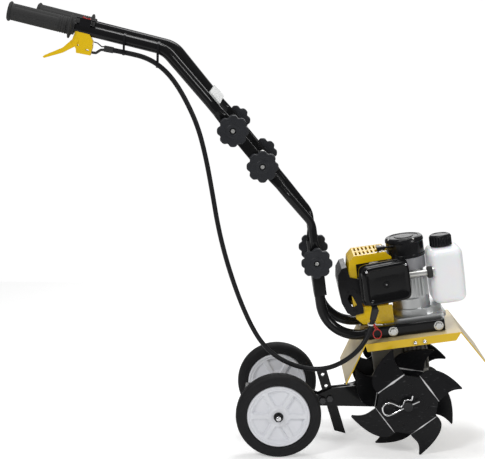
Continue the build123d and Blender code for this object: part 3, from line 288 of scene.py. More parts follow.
DARK_SHEEN = 0.17               # how strongly the black finishes reflect
BLACK_BELOW = 0.05              # a finish darker than this counts as black
FLANGE_Y = 0.0938               # the mudguard's side flanges lie beyond this
BETWEEN_STARS_Y = 0.091         # from here outward a blade belongs to an outer star
FOLD_GLINT_R = 0.0572                 # the painted highlight line along a fold, from the shaft's axis
DARK_BELOW_Z = 0.115           # frame bolts below this height are coloured near black

# name: colour, second colour factor, roughness, its swing, metallic, coat, grain per metre, grain depth
PLAIN_FINISHES = {
    "black_coat": ((0.006, 0.006, 0.0065), 1.7, 0.18, 0.06, 0.0, 0.15, 700, 0.03),
    "grey_paint": ((0.55, 0.56, 0.55), 0.9, 0.38, 0.10, 0.0, 0.0, 500, 0.06),
    "knob_nylon": ((0.022, 0.023, 0.026), 1.7, 0.42, 0.12, 0.0, 0.0, 1400, 0.18),
    "zinc": ((0.78, 0.78, 0.75), 0.82, 0.24, 0.14, 1.0, 0.0, 900, 0.05),
    "chrome": ((0.86, 0.86, 0.87), 0.92, 0.10, 0.06, 1.0, 0.0, 300, 0.02),
    "grey_cast": ((0.30, 0.30, 0.315), 1.2, 0.42, 0.15, 0.35, 0.0, 1300, 0.25),
    "dark_cast": ((0.13, 0.125, 0.112), 1.4, 0.45, 0.15, 0.2, 0.1, 1200, 0.3),
    "dark_steel": ((0.020, 0.020, 0.021), 2.2, 0.34, 0.15, 0.3, 0.0, 900, 0.10),
    "ground_steel": ((0.42, 0.42, 0.43), 0.8, 0.30, 0.15, 1.0, 0.0, 900, 0.06),
    "black_mould": ((0.008, 0.008, 0.009), 1.8, 0.24, 0.10, 0.0, 0.10, 1100, 0.10),
    "muffler_gloss": ((0.003, 0.003, 0.0034), 1.6, 0.12, 0.06, 0.0, 0.15, 260, 0.03),
    "rubber": ((0.015, 0.015, 0.017), 1.6, 0.62, 0.12, 0.0, 0.0, 1500, 0.2),
    "loom_sleeve": ((0.010, 0.010, 0.011), 1.7, 0.40, 0.10, 0.0, 0.0, 1200, 0.1),
    "rim_mould": ((0.86, 0.87, 0.91), 0.95, 0.36, 0.10, 0.0, 0.1, 700, 0.08),
    "red_cap": ((0.55, 0.02, 0.015), 0.8, 0.30, 0.10, 0.0, 0.2, 600, 0.05),
    "white_tie": ((0.85, 0.85, 0.82), 0.9, 0.42, 0.10, 0.0, 0.0, 900, 0.05),
    "ceramic": ((0.85, 0.85, 0.82), 0.95, 0.16, 0.05, 0.0, 0.4, 300, 0.02),
    "bronze": ((0.55, 0.36, 0.12), 0.8, 0.30, 0.12, 1.0, 0.0, 800, 0.06),
    "yellow_mould": ((0.98, 0.64, 0.004), 0.96, 0.26, 0.10, 0.0, 0.2, 800, 0.06),
}


def plain_finish(name):
    """A moulded, painted or metal finish: mottled colour, uneven gloss and a fine grain."""
    colour, second, rough, swing, metal, coat, grain, depth = PLAIN_FINISHES[name]
    if name == "red_cap":
        colour = tuple(settings().red_colour)
    made = Finish(name)
    cloud = made.noise(38.0, 4.0)
    fine = made.noise(grain, 3.0)
    made.put(Base_Color=made.blend(cloud, tone(colour), tone(colour, second)), Metallic=metal,
             Roughness=(cloud - 0.5) * swing * 2 + rough, Coat_Weight=coat, Coat_Roughness=0.08)
    if max(colour) < BLACK_BELOW:
        made.put(Specular_IOR_Level=DARK_SHEEN)
    made.bump(fine, depth)
    return made.material


def cast_silver():
    """Die-cast aluminium: a sandy skin with cloudy gloss and darker hollows."""
    made = Finish("cast_silver")
    cloud, sand = made.noise(30.0, 5.0), made.noise(1500.0, 2.0)
    flow = made.noise(120.0, 3.0, (1.0, 1.0, 0.35))
    made.put(Base_Color=made.blend(flow, (0.50, 0.51, 0.52, 1), (0.72, 0.73, 0.73, 1)), Metallic=0.75,
             Roughness=cloud * 0.22 + 0.27)
    made.bump(sand * 0.7 + flow * 0.5, 0.28)
    return made.material


def guard_paint():
    """Yellow powder coat, deep yellow on the side flanges. Between them the faces are painted a pale beige:
    painted light standing in for the glare that washes them out.
    """
    made = Finish("guard_paint")
    across = made.node("ShaderNodeSeparateXYZ", None, 1, i0=made.place)
    flange = across.math("ABSOLUTE", across) > FLANGE_Y
    cloud = made.noise(26.0, 4.0)
    # Painted glare: the faces between the flanges get a pale beige in place of the yellow.
    painted_glare = made.blend(cloud, (0.80, 0.65, 0.36, 1), (0.74, 0.58, 0.29, 1))
    made.put(Base_Color=made.blend(flange, painted_glare, (0.86, 0.56, 0.01, 1)),
             Roughness=cloud * 0.16 + 0.28, Coat_Weight=0.25, Coat_Roughness=0.12)
    made.bump(made.noise(420.0, 3.0), 0.10)
    return made.material


def tine_paint():
    """Black paint on spring steel, rubbed grey in streaks, with a painted highlight along the folds standing in
    for the glint of light on each bend.
    In its star's own axes u, v a point lies on a fold where the larger of |u| and |v| is the fold's
    distance, because the four folds make a square."""
    made = Finish("tine_paint")
    streak = made.noise(90.0, 5.0, (1.0, 1.0, 3.0))
    rub = (streak - 0.62) * 6.0
    rub = rub.math("MINIMUM", rub.math("MAXIMUM", rub, 0.0), 1.0)
    x, y, z = (made.node("ShaderNodeSeparateXYZ", None, k, i0=made.place) for k in range(3))
    outer = y.math("ABSOLUTE", y) > BETWEEN_STARS_Y
    turns = [math.radians(TINE_PHASE + TINE_BACK - lag) for lag in (45, 0)]
    cos = outer * (math.cos(turns[1]) - math.cos(turns[0])) + math.cos(turns[0])
    sin = outer * (math.sin(turns[1]) - math.sin(turns[0])) + math.sin(turns[0])
    x, z = x - SHAFT[0], z - SHAFT[2]
    u, v = x * cos + z * sin, z * cos - x * sin
    u, v = u.math("ABSOLUTE", u), v.math("ABSOLUTE", v)
    off = u.math("MAXIMUM", u, v) - FOLD_GLINT_R
    patch = made.noise(16.0, 2.0)
    # Painted highlight: a near-white, partly metallic band along each fold, broken up by the streaks and patches.
    fold_glint = 4.7 - off.math("ABSOLUTE", off) * 900.0 - (1.0 - streak) * 0.6 - patch * 7.0
    fold_glint = fold_glint.math("MINIMUM", fold_glint.math("MAXIMUM", fold_glint, 0.0), 1.0)
    dark = made.blend(rub, (0.008, 0.008, 0.009, 1), (0.06, 0.06, 0.063, 1))
    made.put(Base_Color=made.blend(fold_glint, dark, (0.80, 0.80, 0.81, 1)),
             Metallic=rub * 0.3 + fold_glint * 0.5, Roughness=streak * 0.25 + 0.20, Specular_IOR_Level=DARK_SHEEN)
    made.bump(made.noise(600.0, 4.0), 0.12)
    return made.material


def frame_zinc():
    """Zinc bolts, coloured near black below a set height, down by the wheels."""
    made = Finish("frame_zinc")
    height = made.node("ShaderNodeSeparateXYZ", None, 2, i0=made.place)
    above_line, cloud = height > DARK_BELOW_Z, made.noise(60.0, 4.0)
    shade = made.blend(cloud, (0.78, 0.78, 0.75, 1), (0.64, 0.64, 0.62, 1))
    made.put(Base_Color=made.blend(above_line, (0.05, 0.05, 0.052, 1), shade), Metallic=above_line * 0.6 + 0.4,
             Roughness=cloud * 0.15 + 0.18)
    made.bump(made.noise(900.0, 3.0), 0.06)
    return made.material


def tank_milk():
    """Milky blow-moulded polyethylene that light soaks into, with a faint painted glow for the light shining
    through it.
    """
    made = Finish("tank_milk")
    cloud = made.noise(22.0, 3.0)
    # The faint bluish-white emission is a painted glow: the tank is no lamp.
    made.put(Base_Color=made.blend(cloud, (0.98, 0.985, 1.0, 1), (0.93, 0.94, 0.97, 1)),
             Roughness=cloud * 0.14 + 0.30, Subsurface_Weight=0.35, Subsurface_Scale=0.008,
             Coat_Weight=0.12, Emission_Color=(0.92, 0.95, 1.0, 1.0), Emission_Strength=0.10)
    made.bump(made.noise(160.0, 2.0), 0.06)
    return made.material


def tyre_rubber():
    """Moulded tyre rubber with a dusty tread and faint rings on its walls."""
    made = Finish("tyre_rubber")
    cloud, grit = made.noise(45.0, 5.0), made.noise(900.0, 4.0)
    made.put(Base_Color=made.blend(cloud, (0.010, 0.010, 0.011, 1), (0.022, 0.022, 0.023, 1)),
             Roughness=cloud * 0.2 + 0.48, Specular_IOR_Level=DARK_SHEEN)
    made.bump(grit, 0.3)
    return made.material


def floor_white():
    """A matt studio floor, faintly uneven. It shows white, and sheds a quarter of that on the machine."""
    made = Finish("floor_white")
    cloud = made.noise(1.5, 2.0)
    seen = made.node("ShaderNodeLightPath", output="Is Camera Ray")
    made.put(Base_Color=made.blend(cloud, (0.93, 0.93, 0.93, 1), (0.90, 0.90, 0.90, 1)), Roughness=0.7,
             Emission_Color=made.blend(seen, (0.25, 0.25, 0.25, 1), (1.0, 1.0, 1.0, 1)),
             Emission_Strength=FLOOR_GLOW)
    return made.material


SPECIAL_FINISHES = {maker.__name__: maker for maker in
                    (cast_silver, guard_paint, tine_paint, frame_zinc, tank_milk, tyre_rubber,
                     floor_white)}


def material(name):
    """The finish of that name, made the first time it is asked for."""
    if name not in bpy.data.materials:
        return SPECIAL_FINISHES[name]() if name in SPECIAL_FINISHES else plain_finish(name)
    return bpy.data.materials[name]


SLOT_FINISHES = {
    "black_tube": "black_coat", "grey_strip": "grey_paint", "charcoal_knob": "knob_nylon", "zinc": "zinc",
    "cast_silver": "cast_silver", "dark_casting": "dark_cast", "grey_casting": "grey_cast",
    "steel": "ground_steel", "tine_steel": "tine_paint", "yellow_plastic": "yellow_mould",
    "yellow_paint": "guard_paint", "black_plastic": "black_mould", "black_gloss": "muffler_gloss",
    "tank_plastic": "tank_milk", "rubber": "rubber", "tyre": "tyre_rubber", "rim_plastic": "rim_mould",
    "red_plastic": "red_cap", "ceramic": "ceramic", "bronze": "bronze",
}
SLOT_OF = {part["node"]: part["material_slot"] for part in frame["record"]["subparts"]}


def finish_of(node):
    """A node's finish: its slot's, but for the frame bolts, darker low down, and the blackened tine shaft."""
    return {"frame_bolts": "frame_zinc", "tine_shaft": "dark_steel"}.get(node, SLOT_FINISHES[SLOT_OF[node]])


# Nodes whose edges are rounded for the eye: the rounding in millimetres.
ROUNDED = {
    "cylinder_cover": 1.2, "rear_guard": 1.4, "clutch_housing": 1.2, "crankcase": 0.7, "fan_housing": 1.0,
    "mudguard": 0.7, "gearbox_housing": 1.2, "hitch_arm": 0.6, "depth_stake": 0.6, "starter_handle": 1.6,
    "throttle_bracket": 0.5, "throttle_lever": 1.4, "stop_switch": 0.8, "stop_rocker": 0.6,
    "frame_bolts": 0.6, "air_filter_cover": 1.0, "carburettor": 0.7, "upper_crossbar": 0.6,
    "tank_mount": 0.6, "wheel_carrier": 0.6, "plug_cap": 1.0,
}


# ---- settings ----------------------------------------------------------------------------------------
class TillerSettings(bpy.types.PropertyGroup):
    """The sizes that shape the added skins, and the colour of the red parts."""

    lobe_depth: FloatProperty(name="Knob lobe depth", description="How far a star knob's lobes stand out",
                              default=4.4 * MM, subtype="DISTANCE", unit="LENGTH")
    lobes: IntProperty(name="Knob lobes", description="Lobes round a star knob", default=8)
    rib_depth: FloatProperty(name="Grip rib depth", description="Height of the rings on a grip",
                             default=1.0 * MM, subtype="DISTANCE", unit="LENGTH")
    pocket_depth: FloatProperty(name="Rim pocket depth", description="Depth of the pockets in a rim",
                                default=8.0 * MM, subtype="DISTANCE", unit="LENGTH")
    pockets: IntProperty(name="Rim pockets", description="Pockets round a rim", default=6)
    blade_bend: FloatProperty(name="Blade bend", description="Sideways bend of a tine blade",
                              default=math.radians(16), subtype="ANGLE", unit="ROTATION")
    red_colour: FloatVectorProperty(name="Red colour", description="Colour of the rocker and the wire loop",
                                    default=PLAIN_FINISHES["red_cap"][0], subtype="COLOR", size=3)


def settings():
    """The scene's tiller settings."""
    return bpy.context.scene.tiller


class Maker(bpy.types.Operator):
    """Runs its make method. Any error in it stops the script"""

    bl_idname = "tiller.maker"
    bl_label = "Make"

    def execute(self, context):
        self.make(settings())
        return {"FINISHED"}


# ---- stage -------------------------------------------------------------------------------------------
LENS_MM = 86.18
CAMERA_BACK, CAMERA_UP = -2449.2, 917.1
CAMERA_AHEAD_OF_WHEEL = -37.07
PITCH, HEADING = 79.532, 0.946
FLOOR_REACH = 1.5               # metres from the middle to each side
SURROUND_GLOW = 0.20
FLOOR_GLOW = 0.42


class TILLER_OT_stage(Maker):
    """Floor, soft lights, bright surround and camera"""

    bl_idname = "tiller.stage"
    bl_label = "Stage"

    def make(self, chosen):
        scene = bpy.context.scene
        wheel_x = JOINTS["wheel_right_turn"]["pos_m"][0]
        lens = bpy.data.cameras.new("view")
        lens.lens, lens.sensor_width, lens.sensor_fit = LENS_MM, 36.0, "HORIZONTAL"
        camera = bpy.data.objects.new("view", lens)
        camera.location = (wheel_x + CAMERA_AHEAD_OF_WHEEL * MM, CAMERA_BACK * MM, CAMERA_UP * MM)
        camera.rotation_euler = (math.radians(PITCH), 0.0, math.radians(HEADING))
        scene.collection.objects.link(camera)
        scene.camera = camera

        corners = np.array([[(-1, -1, 0), (-1, 1, 0)], [(1, -1, 0), (1, 1, 0)]]) * FLOOR_REACH
        floor = skin("floor", corners, loop_v=False)
        floor.data.materials.append(material("floor_white"))
        if floor.data.polygons[0].normal.z < 0:
            floor.data.flip_normals()

        self.lamp("key", (-1.5, -2.0, 2.4), 0.55, 32.0)
        self.lamp("front", (2.1, -2.0, 1.2), 0.6, 15.0)
        self.lamp("top", (0.2, 0.3, 2.6), 1.0, 26.0)
        self.lamp("back", (0.6, 2.4, 1.5), 1.6, 12.0)
        world = bpy.data.worlds.new("surround")
        world.use_nodes = True
        # The surround is seen as white paper but lights the machine more softly.
        tree = world.node_tree
        background = tree.nodes["Background"]
        background.inputs[0].default_value = (1.0, 1.0, 1.0, 1.0)
        seen = tree.nodes.new("ShaderNodeLightPath")
        glow = tree.nodes.new("ShaderNodeMapRange")
        glow.inputs["To Min"].default_value, glow.inputs["To Max"].default_value = SURROUND_GLOW, 1.02
        tree.links.new(seen.outputs["Is Camera Ray"], glow.inputs["Value"])
        tree.links.new(glow.outputs[0], background.inputs[1])
        scene.world = world
        scene.view_settings.view_transform = "Standard"

    def lamp(self, name, at, size, power):
        """A square soft light that looks at the middle of the machine."""
        light = bpy.data.lights.new(name, "AREA")
        light.energy, light.size = power, size
        lamp = bpy.data.objects.new(name, light)
        lamp.location = at
        lamp.rotation_euler = (Vector((0.0, 0.0, 0.4)) - Vector(at)).to_track_quat("-Z", "Y").to_euler()
        bpy.context.scene.collection.objects.link(lamp)


# ---- cord --------------------------------------------------------------------------------------------
LOOM_D = 0.010
LOOM = [
    (-0.283, -0.147, 0.849), (-0.251, -0.148, 0.843), (-0.219, -0.148, 0.835), (-0.190, -0.147, 0.818),
    (-0.165, -0.143, 0.791), (-0.141, -0.138, 0.750), (-0.118, -0.132, 0.697), (-0.103, -0.127, 0.635),
    (-0.091, -0.122, 0.565), (-0.079, -0.117, 0.488), (-0.060, -0.111, 0.409), (-0.032, -0.103, 0.324),
    (0.000, -0.094, 0.253), (0.033, -0.087, 0.213), (0.072, -0.084, 0.190), (0.111, -0.088, 0.181),
    (0.149, -0.100, 0.186), (0.184, -0.112, 0.206), (0.213, -0.116, 0.232), (0.234, -0.107, 0.262),
    (0.242, -0.095, 0.290),
]


class TILLER_OT_loom(Maker):
    """The control loom that hangs from the handle to the engine"""

    bl_idname = "tiller.loom"
    bl_label = "Control loom"

    def make(self, chosen):
        line = bpy.data.curves.new("loom_line", "CURVE")
        line.dimensions = "3D"
        line.bevel_depth = LOOM_D / 2
        line.bevel_resolution = 5
        line.use_fill_caps = True
        spline = line.splines.new("NURBS")
        spline.points.add(len(LOOM) - 1)
        for point, at in zip(spline.points, LOOM):
            point.co = (*at, 1.0)
        spline.order_u = 3
        spline.use_endpoint_u = True
        spline.resolution_u = 10
        loom = bpy.data.objects.new("loom_line", line)
        bpy.context.scene.collection.objects.link(loom)
        fit(loom, "chassis", "loom_sleeve")
        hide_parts("control_loom")


# ---- plain CAD nodes ---------------------------------------------------------------------------------
class TILLER_OT_finishes(Maker):
    """Finishes on the CAD nodes, with rounded edges where the eye looks for them"""

    bl_idname = "tiller.finishes"
    bl_label = "Finishes"

    def make(self, chosen):
        for name, node in frame["nodes"].items():
            node.data.materials.clear()
            node.data.materials.append(material(finish_of(name)))
        for name, bevel in ROUNDED.items():
            body = next(b for b, members in frame["record"]["behaviour"]["bodies"].items() if name in members)
            fit(softened(name, bevel), body, finish_of(name))


# ---- handle ------------------------------------------------------------------------------------------
class TILLER_OT_knobs(Maker):
    """The six star knobs"""

    bl_idname = "tiller.knobs"
    bl_label = "Star knobs"

    # (share of the star outline, plain radius, height) round one knob, back to the start
    PROFILE = [(0, 4.2, 0), (0, 13, 0), (0, 13.6, 2), (0, 14.5, 4.0), (1, -3.0, 4.4), (1, -1.0, 5.0),
               (1, -0.2, 6.4), (1, 0, 8.5), (1, 0, 13.5), (1, -0.3, 16), (1, -1.2, 17.6), (1, -3.0, 18.4),
               (0.8, 0, 18.2), (0.62, 0, 17.2), (0, 14.6, 16.9), (0, 13.4, 17.8), (0, 12, 18.4),
               (0, 8, 18.4), (0, 6.8, 17.6), (0, 6.5, 13.4), (0, 4.2, 13.4)]

    def make(self, chosen):
        depth, lobes = chosen.lobe_depth / MM, chosen.lobes
        share, plain, height = (np.array(column)[:, None] for column in zip(*self.PROFILE))
        angle = np.linspace(0, 2 * math.pi, 192, endpoint=False)[None]
        star = 32.4 - depth * (0.5 - 0.5 * np.cos(lobes * angle)) ** 2.3
        radius = share * star + plain
        local = np.stack((radius * np.cos(angle), radius * np.sin(angle), height + 0 * angle), -1)
        for level in ("upper", "middle", "lower"):
            for side, sign in SIDES:
                name = f"knob_{level}_{side}"
                low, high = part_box(name)
                inner = high.y if sign < 0 else low.y
                joint = JOINTS[f"{name}_turn"]["pos_m"]
                at = (joint[0], inner, joint[2])
                knob = skin(f"{name}_skin", place(local, at, (1, 0, 0), (0, 0, 1), (0, sign, 0)), loop_u=True)
                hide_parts(name)
                fit(knob, name, "knob_nylon")


class TILLER_OT_grips(Maker):
    """Two rubber grips with a guard rim, an end rim and rings"""

    bl_idname = "tiller.grips"
    bl_label = "Grips"

    def make(self, chosen):
        rib = chosen.rib_depth / MM
        for side, sign in SIDES:
            end = np.array((HANDLE_END[0], sign * HANDLE_END[1], HANDLE_END[2]))
            bend = np.array((HANDLE_BEND[0], sign * HANDLE_BEND[1], HANDLE_BEND[2]))
            direction = unit(bend - end)
            start = (end - direction * 6.2) * MM
            s = np.linspace(0, 132, 331)
            rings = np.clip(np.cos(s * 2 * math.pi / 4.6) * 3.0, -1, 1) * rib * 0.5
            radius = 16.6 + rings * ((s > 101) & (s < 117)) + 0.12 * np.cos(s * 2 * math.pi / 3.2)
            radius = np.where((s >= 1) & (s <= 6), 19.6 - 0.25 * (s - 3.5) ** 2, radius)
            radius = np.where(s < 1, 17.0 + s, radius)
            guard = np.exp(-((s - 123.5) / 2.6) ** 4)
            radius = radius + guard * 7.4
            radius = np.where(s > 127.5, 15.2, radius)
            bore = [(132, 11.05), (8, 11.05), (6.4, 0.01)]
            profile = np.vstack(([(0, 0.01), (0, 14)], np.stack((s, radius), 1), bore))

            def facets(turn, along, radius):
                """Broad flats and fine lines run along the hand's part of the grip."""
                hand = (along > 13) & (along < 98) & (radius > 12)
                return -(1.1 * (0.5 - 0.5 * np.cos(6 * turn)) ** 4 + 0.18 * np.cos(36 * turn)) * hand

            grip = turned(f"grip_{side}_skin", profile, start, direction, 144, facets)
            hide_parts(f"grip_{side}")
            fit(grip, "upper_handle", "rubber")


def strap(name, first, first_r, second, second_r, direction, width, thick, body, finish):
    """A flat tie round two rods: the hull of two circles, p = c + r n for the circle that reaches
    furthest along each outward n, with a wall of the given thickness."""
    direction = unit(direction)
    side = unit(np.cross(direction, (0, 0, 1)))
    lift = np.cross(side, direction)
    angle = np.linspace(0, 2 * math.pi, 72, endpoint=False)
    normal = np.cos(angle)[:, None] * side + np.sin(angle)[:, None] * lift
    first, second = np.asarray(first, float), np.asarray(second, float)
    reach = (normal @ first + first_r > normal @ second + second_r)[:, None]
    hull = np.where(reach, first + first_r * normal, second + second_r * normal)
    section = [(-width / 2, 0.2), (-width / 2, thick), (width / 2, thick), (width / 2, 0.2)]
    rings = np.stack([hull + direction * along + normal * out for along, out in section])
    fit(skin(name, rings * MM, loop_u=True), body, finish)


class TILLER_OT_ties(Maker):
    """Cable ties, the earth wire's loop and the white tie at the boot"""

    bl_idname = "tiller.ties"
    bl_label = "Ties and wire"

    def make(self, chosen):
        end = np.array((HANDLE_END[0], -HANDLE_END[1], HANDLE_END[2]))
        bend = np.array((HANDLE_BEND[0], -HANDLE_BEND[1], HANDLE_BEND[2]))
        direction = unit(bend - end)
        for name, below in (("tie_front", (-262.0, -148, 845.5)), ("tie_rear", (-196.0, -147, 821))):
            on_tube = end + direction * (below[0] - end[0]) / direction[0]
            strap(name, on_tube, 11.0, below, 5.0, direction, 4.5, 1.6, "upper_handle", "black_mould")
        boot = np.array((240.0, -98.0, 283.0))
        strap("boot_tie", boot, 7.0, boot + (0.5, 0, 0), 7.0, (-0.12, -0.1, 1.0), 3.0, 1.3, "chassis",
              "white_tie")
        tail = boot + np.array([(3, -7.4, 0.4), (9, -8.6, 0.8), (16, -9.0, 1.0), (22, -8.4, 0.6)])
        fit(tube("tie_tail", tail * MM, 1.0), "chassis", "white_tie")
        # Down one lead, round the loop and up the other.
        turn = np.radians(np.linspace(112, -292, 48))[:, None]
        ring = np.hstack((251 + 8.5 * np.cos(turn), -108 + 1.2 * np.sin(turn), 264 + 9.5 * np.sin(turn)))
        wire = np.vstack(([(243, -106, 284), (245, -108, 279)], ring, [(247, -109, 280), (245, -106, 285)]))
        fit(tube("earth_wire", wire * MM, 1.1), "chassis", "red_cap")


# ---- wheels ------------------------------------------------------------------------------------------
class TILLER_OT_wheels(Maker):
    """Tyres, pocketed rims and hub trims"""

    bl_idname = "tiller.wheels"
    bl_label = "Wheels"

    def make(self, chosen):
        pocket, count = chosen.pocket_depth / MM, chosen.pockets
        for side, sign in SIDES:
            centre = np.array(JOINTS[f"wheel_{side}_turn"]["pos_m"])
            out = np.array((0.0, sign, 0.0))
            body = f"wheel_{side}"
            angle = np.linspace(0, 2 * math.pi, 97)[:-1]
            cos, sin = np.cos(angle), np.sin(angle)
            width = 16.0 * np.sign(cos) * np.abs(cos) ** 0.62
            radius = 77.8 + 12.2 * np.sign(sin) * np.abs(sin) ** 0.62
            radius -= 0.9 * np.exp(-((np.abs(width) - 5.5) / 0.9) ** 2) * (radius > 86)
            width -= np.sign(width) * 0.7 * np.exp(-((radius - 73) / 1.2) ** 2)
            tyre = turned(f"tyre_{side}_skin", np.stack((width, radius), 1), centre, out, 160, closed=True)
            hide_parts(f"tyre_{side}")
            fit(tyre, body, "tyre_rubber")

            rim = self.rim(f"wheel_rim_{side}_skin", centre, out, pocket, count)
            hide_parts(f"wheel_rim_{side}")
            fit(rim, body, "rim_mould")
            section = [(14.2, 6.3), (17.0, 6.5), (18.2, 8.0), (17.4, 9.8), (14.2, 10.4)]
            ring = turned(f"hub_ring_{side}", section, centre, out, 64, closed=True)
            fit(ring, body, "black_mould")
            screw = screw_head(f"axle_screw_{side}", centre + out * 24.1 * MM, out, 5.4)
            fit(screw, "wheel_carrier", "chrome")

    def rim(self, name, centre, out, pocket, count):
        """A disc whose two faces are height fields h(r, a): a lip, a hub, and wedge pockets sunk
        between spokes of constant width, whose floors tip towards one side like fan blades."""
        rim_edge = [61, 62, 63, 64, 65, 65.8, 66.1]
        face_r = np.concatenate((np.linspace(6.1, 20, 10), np.linspace(21, 60, 44), rim_edge))
        angle = np.linspace(0, 2 * math.pi, 288, endpoint=False)
        r, a = np.meshgrid(face_r, angle, indexing="ij")
        sector = 2 * math.pi / count
        inside = (a % sector) - sector / 2
        edge = r * np.sin(sector / 2 - np.abs(inside))
        wall = np.clip((edge - 4.0) / 3.5, 0, 1) * np.clip((r - 21) / 5, 0, 1) * np.clip((57 - r) / 5, 0, 1)
        wall = wall * wall * (3 - 2 * wall)
        tip = 0.72 + 0.28 * inside / (sector / 2)
        height = 11.2 - pocket * wall * tip
        height += 2.2 * np.clip((r - 60) / 1.5, 0, 1) * np.clip((66 - r) / 1.2, 0, 1)
        height += 2.6 * np.clip((19 - r) / 1.5, 0, 1)
        height = np.where(r > 65.9, 10.0, height)
        front = np.stack((r * np.cos(a), r * np.sin(a), height), -1)
        back = np.stack((r * np.cos(a), r * np.sin(a), -height), -1)[::-1]
        local = np.concatenate((front, back), 0)
        return skin(name, place(local, centre, (1, 0, 0), (0, 0, 1), out), loop_u=True, crease=50)


# ---- engine ------------------------------------------------------------------------------------------
class TILLER_OT_tank(Maker):
    """Milky fuel tank and its knurled cap"""

    bl_idname = "tiller.tank"
    bl_label = "Fuel tank"

    def make(self, chosen):
        x, z, length, width, height = TANK
        ease = 15               # rounding of the shoulders and the foot
        rise = np.concatenate((np.linspace(0, ease, 12), np.linspace(18, height - 18, 25),
                               np.linspace(height - ease, height, 12)))
        short = np.minimum(rise, height - rise)
        inset = ease - np.sqrt(np.maximum(ease ** 2 - np.clip(ease - short, 0, ease) ** 2, 0))
        inset -= 0.35 * np.exp(-((rise - height / 2) / 34) ** 2)
        profile = np.stack((inset, rise), 1)
        profile = np.vstack(([(36.9, 0)], profile, [(36.9, height)]))
        origin = deck(x, 0, z - height / 2)
        half = (length / 2 - 0.4, width / 2 - 0.4)
        tank = boxed("fuel_tank_skin", profile, half, origin, FORWARD, LEFT, UPWARD, 4.6)
        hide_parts("fuel_tank")
        fit(tank, "chassis", "tank_milk")
        cap_at = deck(x - 3, 0, z + height / 2)
        neck = turned("tank_neck", [(-2, 0.01), (-2, 20), (0.6, 19.4), (1.4, 17.9), (20, 17.9), (20, 0.01)],
                      cap_at, UPWARD, 80)
        fit(neck, "chassis", "tank_milk")

        def knurl(turn, along, radius):
            """Coarse ridges down the cap's wall."""
            return np.where((along > 2.0) & (along < 21.0) & (radius > 21), np.cos(22 * turn) - 0.6, 0)

        profile = [(1.2, 18.4), (1.2, 22.6), (2.1, 23.4), (12, 23.4), (20.8, 23.4), (22.6, 22.6),
                   (24.6, 21.4), (26, 19.2), (26, 15.5), (25.2, 14.5), (25.2, 0.01), (21.2, 0.01),
                   (21.2, 18.4)]
        cap = turned("fuel_cap_skin", profile, cap_at, UPWARD, 264, knurl)
        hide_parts("fuel_cap")
        fit(cap, "fuel_cap", "black_mould")


class TILLER_OT_starter(Maker):
    """Recoil cover with a stepped lid and ribbed wall"""

    bl_idname = "tiller.starter"
    bl_label = "Recoil cover"

    def make(self, chosen):
        def ribs(turn, along, radius):
            """Narrow grooves down the wall."""
            wall = (along > 8) & (along < 30) & (radius > 38)
            return np.where(wall, -0.9 * (np.cos(18 * turn) > 0.86), 0)

        profile = [(0, 36.5), (0, 41.5), (5.5, 41.4), (6.5, 40.4), (8.0, 40.3), (30, 39.8), (31.5, 39.8),
                   (32.5, 41.0), (37.0, 40.6), (40.5, 39.0), (42.2, 36.0), (42.6, 31.0), (41.4, 29.6),
                   (41.4, 21.0), (42.8, 19.6), (43.0, 12.0), (42.4, 0.01), (38, 0.01), (38, 36.5)]
        cover = turned("recoil_cover_skin", profile, deck(CRANK_X, 0, START_Z), UPWARD, 216, ribs, bevel=0.5)
        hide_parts("recoil_cover")
        fit(cover, "chassis", "black_mould")
        for k in range(4):
            turn = math.radians(25 + 90 * k)
            at = deck(CRANK_X + 37.2 * math.cos(turn), 37.2 * math.sin(turn), START_Z + 40.2)
            fit(screw_head(f"lid_screw_{k}", at, UPWARD, 2.8), "chassis", "zinc")


def screw_head(name, at, axis, radius):
    """A pan head: a low dome with a dished middle, on its own short shank."""
    profile = [(-1.5, 0.01), (-1.5, radius * 0.9), (0, radius), (radius * 0.35, radius * 0.96),
               (radius * 0.62, radius * 0.7), (radius * 0.7, radius * 0.42), (radius * 0.4, radius * 0.3),
               (radius * 0.4, 0.01)]
    return turned(name, profile, at, axis, 32)


class TILLER_OT_muffler(Maker):
    """Pressed muffler box with a rolled edge, a dished face, a boss and screws"""

    bl_idname = "tiller.muffler"
    bl_label = "Muffler"

    TURN = 13.0

    def make(self, chosen):
        cos, sin = math.cos(math.radians(self.TURN)), math.sin(math.radians(self.TURN))
        rotate = np.array(((cos, sin, 0), (-sin, cos, 0), (0, 0, 1)))
        ex, out = FORWARD @ rotate, np.array((0.0, -1.0, 0.0)) @ rotate
        ey = np.cross(out, ex)
        origin = deck(-18, -51.5, 256)
        # (inset, height above the base plane) from the back over the rolled edge to the dished face
        profile = [(42.9, 11), (6, 11), (2.5, 11.8), (0.6, 13.5), (0.2, 16), (0.2, 23.5), (-1.4, 24.8),
                   (-2.0, 26.6), (-1.4, 28.4), (0.4, 29.6), (0.8, 31), (1.0, 39), (1.6, 42.6), (3.4, 45.6),
                   (6.0, 46.9), (8.4, 46.7), (10.2, 45.4), (11.2, 44.2), (13, 43.8), (26, 43.8), (42.9, 43.8)]
        box = boxed("muffler_skin", profile, (52.4, 43), origin, ex, ey, out, 7.0, 160)
        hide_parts("muffler")
        fit(box, "chassis", "muffler_gloss")
        for k, (x, y) in enumerate(((-43.0, 34.0), (43.0, 35.0))):
            at = origin + (ex * x + ey * y + out * 46.4) * MM
            fit(screw_head(f"muffler_screw_{k}", at, out, 2.6), "chassis", "chrome")
        boss = origin + (ex * -2 + ey * -1 + out * 43.2) * MM
        ring = [(0, 7.5), (0.8, 7.4), (1.8, 6.4), (1.8, 5.0), (0.4, 4.2), (-0.6, 0.01), (-1, 0.01), (-1, 7.5)]
        fit(turned("muffler_boss", ring, boss, out, 48), "chassis", "muffler_gloss")
        fit(screw_head("muffler_core", boss + out * 0.2 * MM, out, 2.0), "chassis", "ground_steel")
        neck = [(-8, 0.01), (-8, 12), (12, 12), (12, 0.01)]
        neck = turned("muffler_neck", neck, deck(-20, -52, 232), out, 48)
        fit(neck, "chassis", "ground_steel")


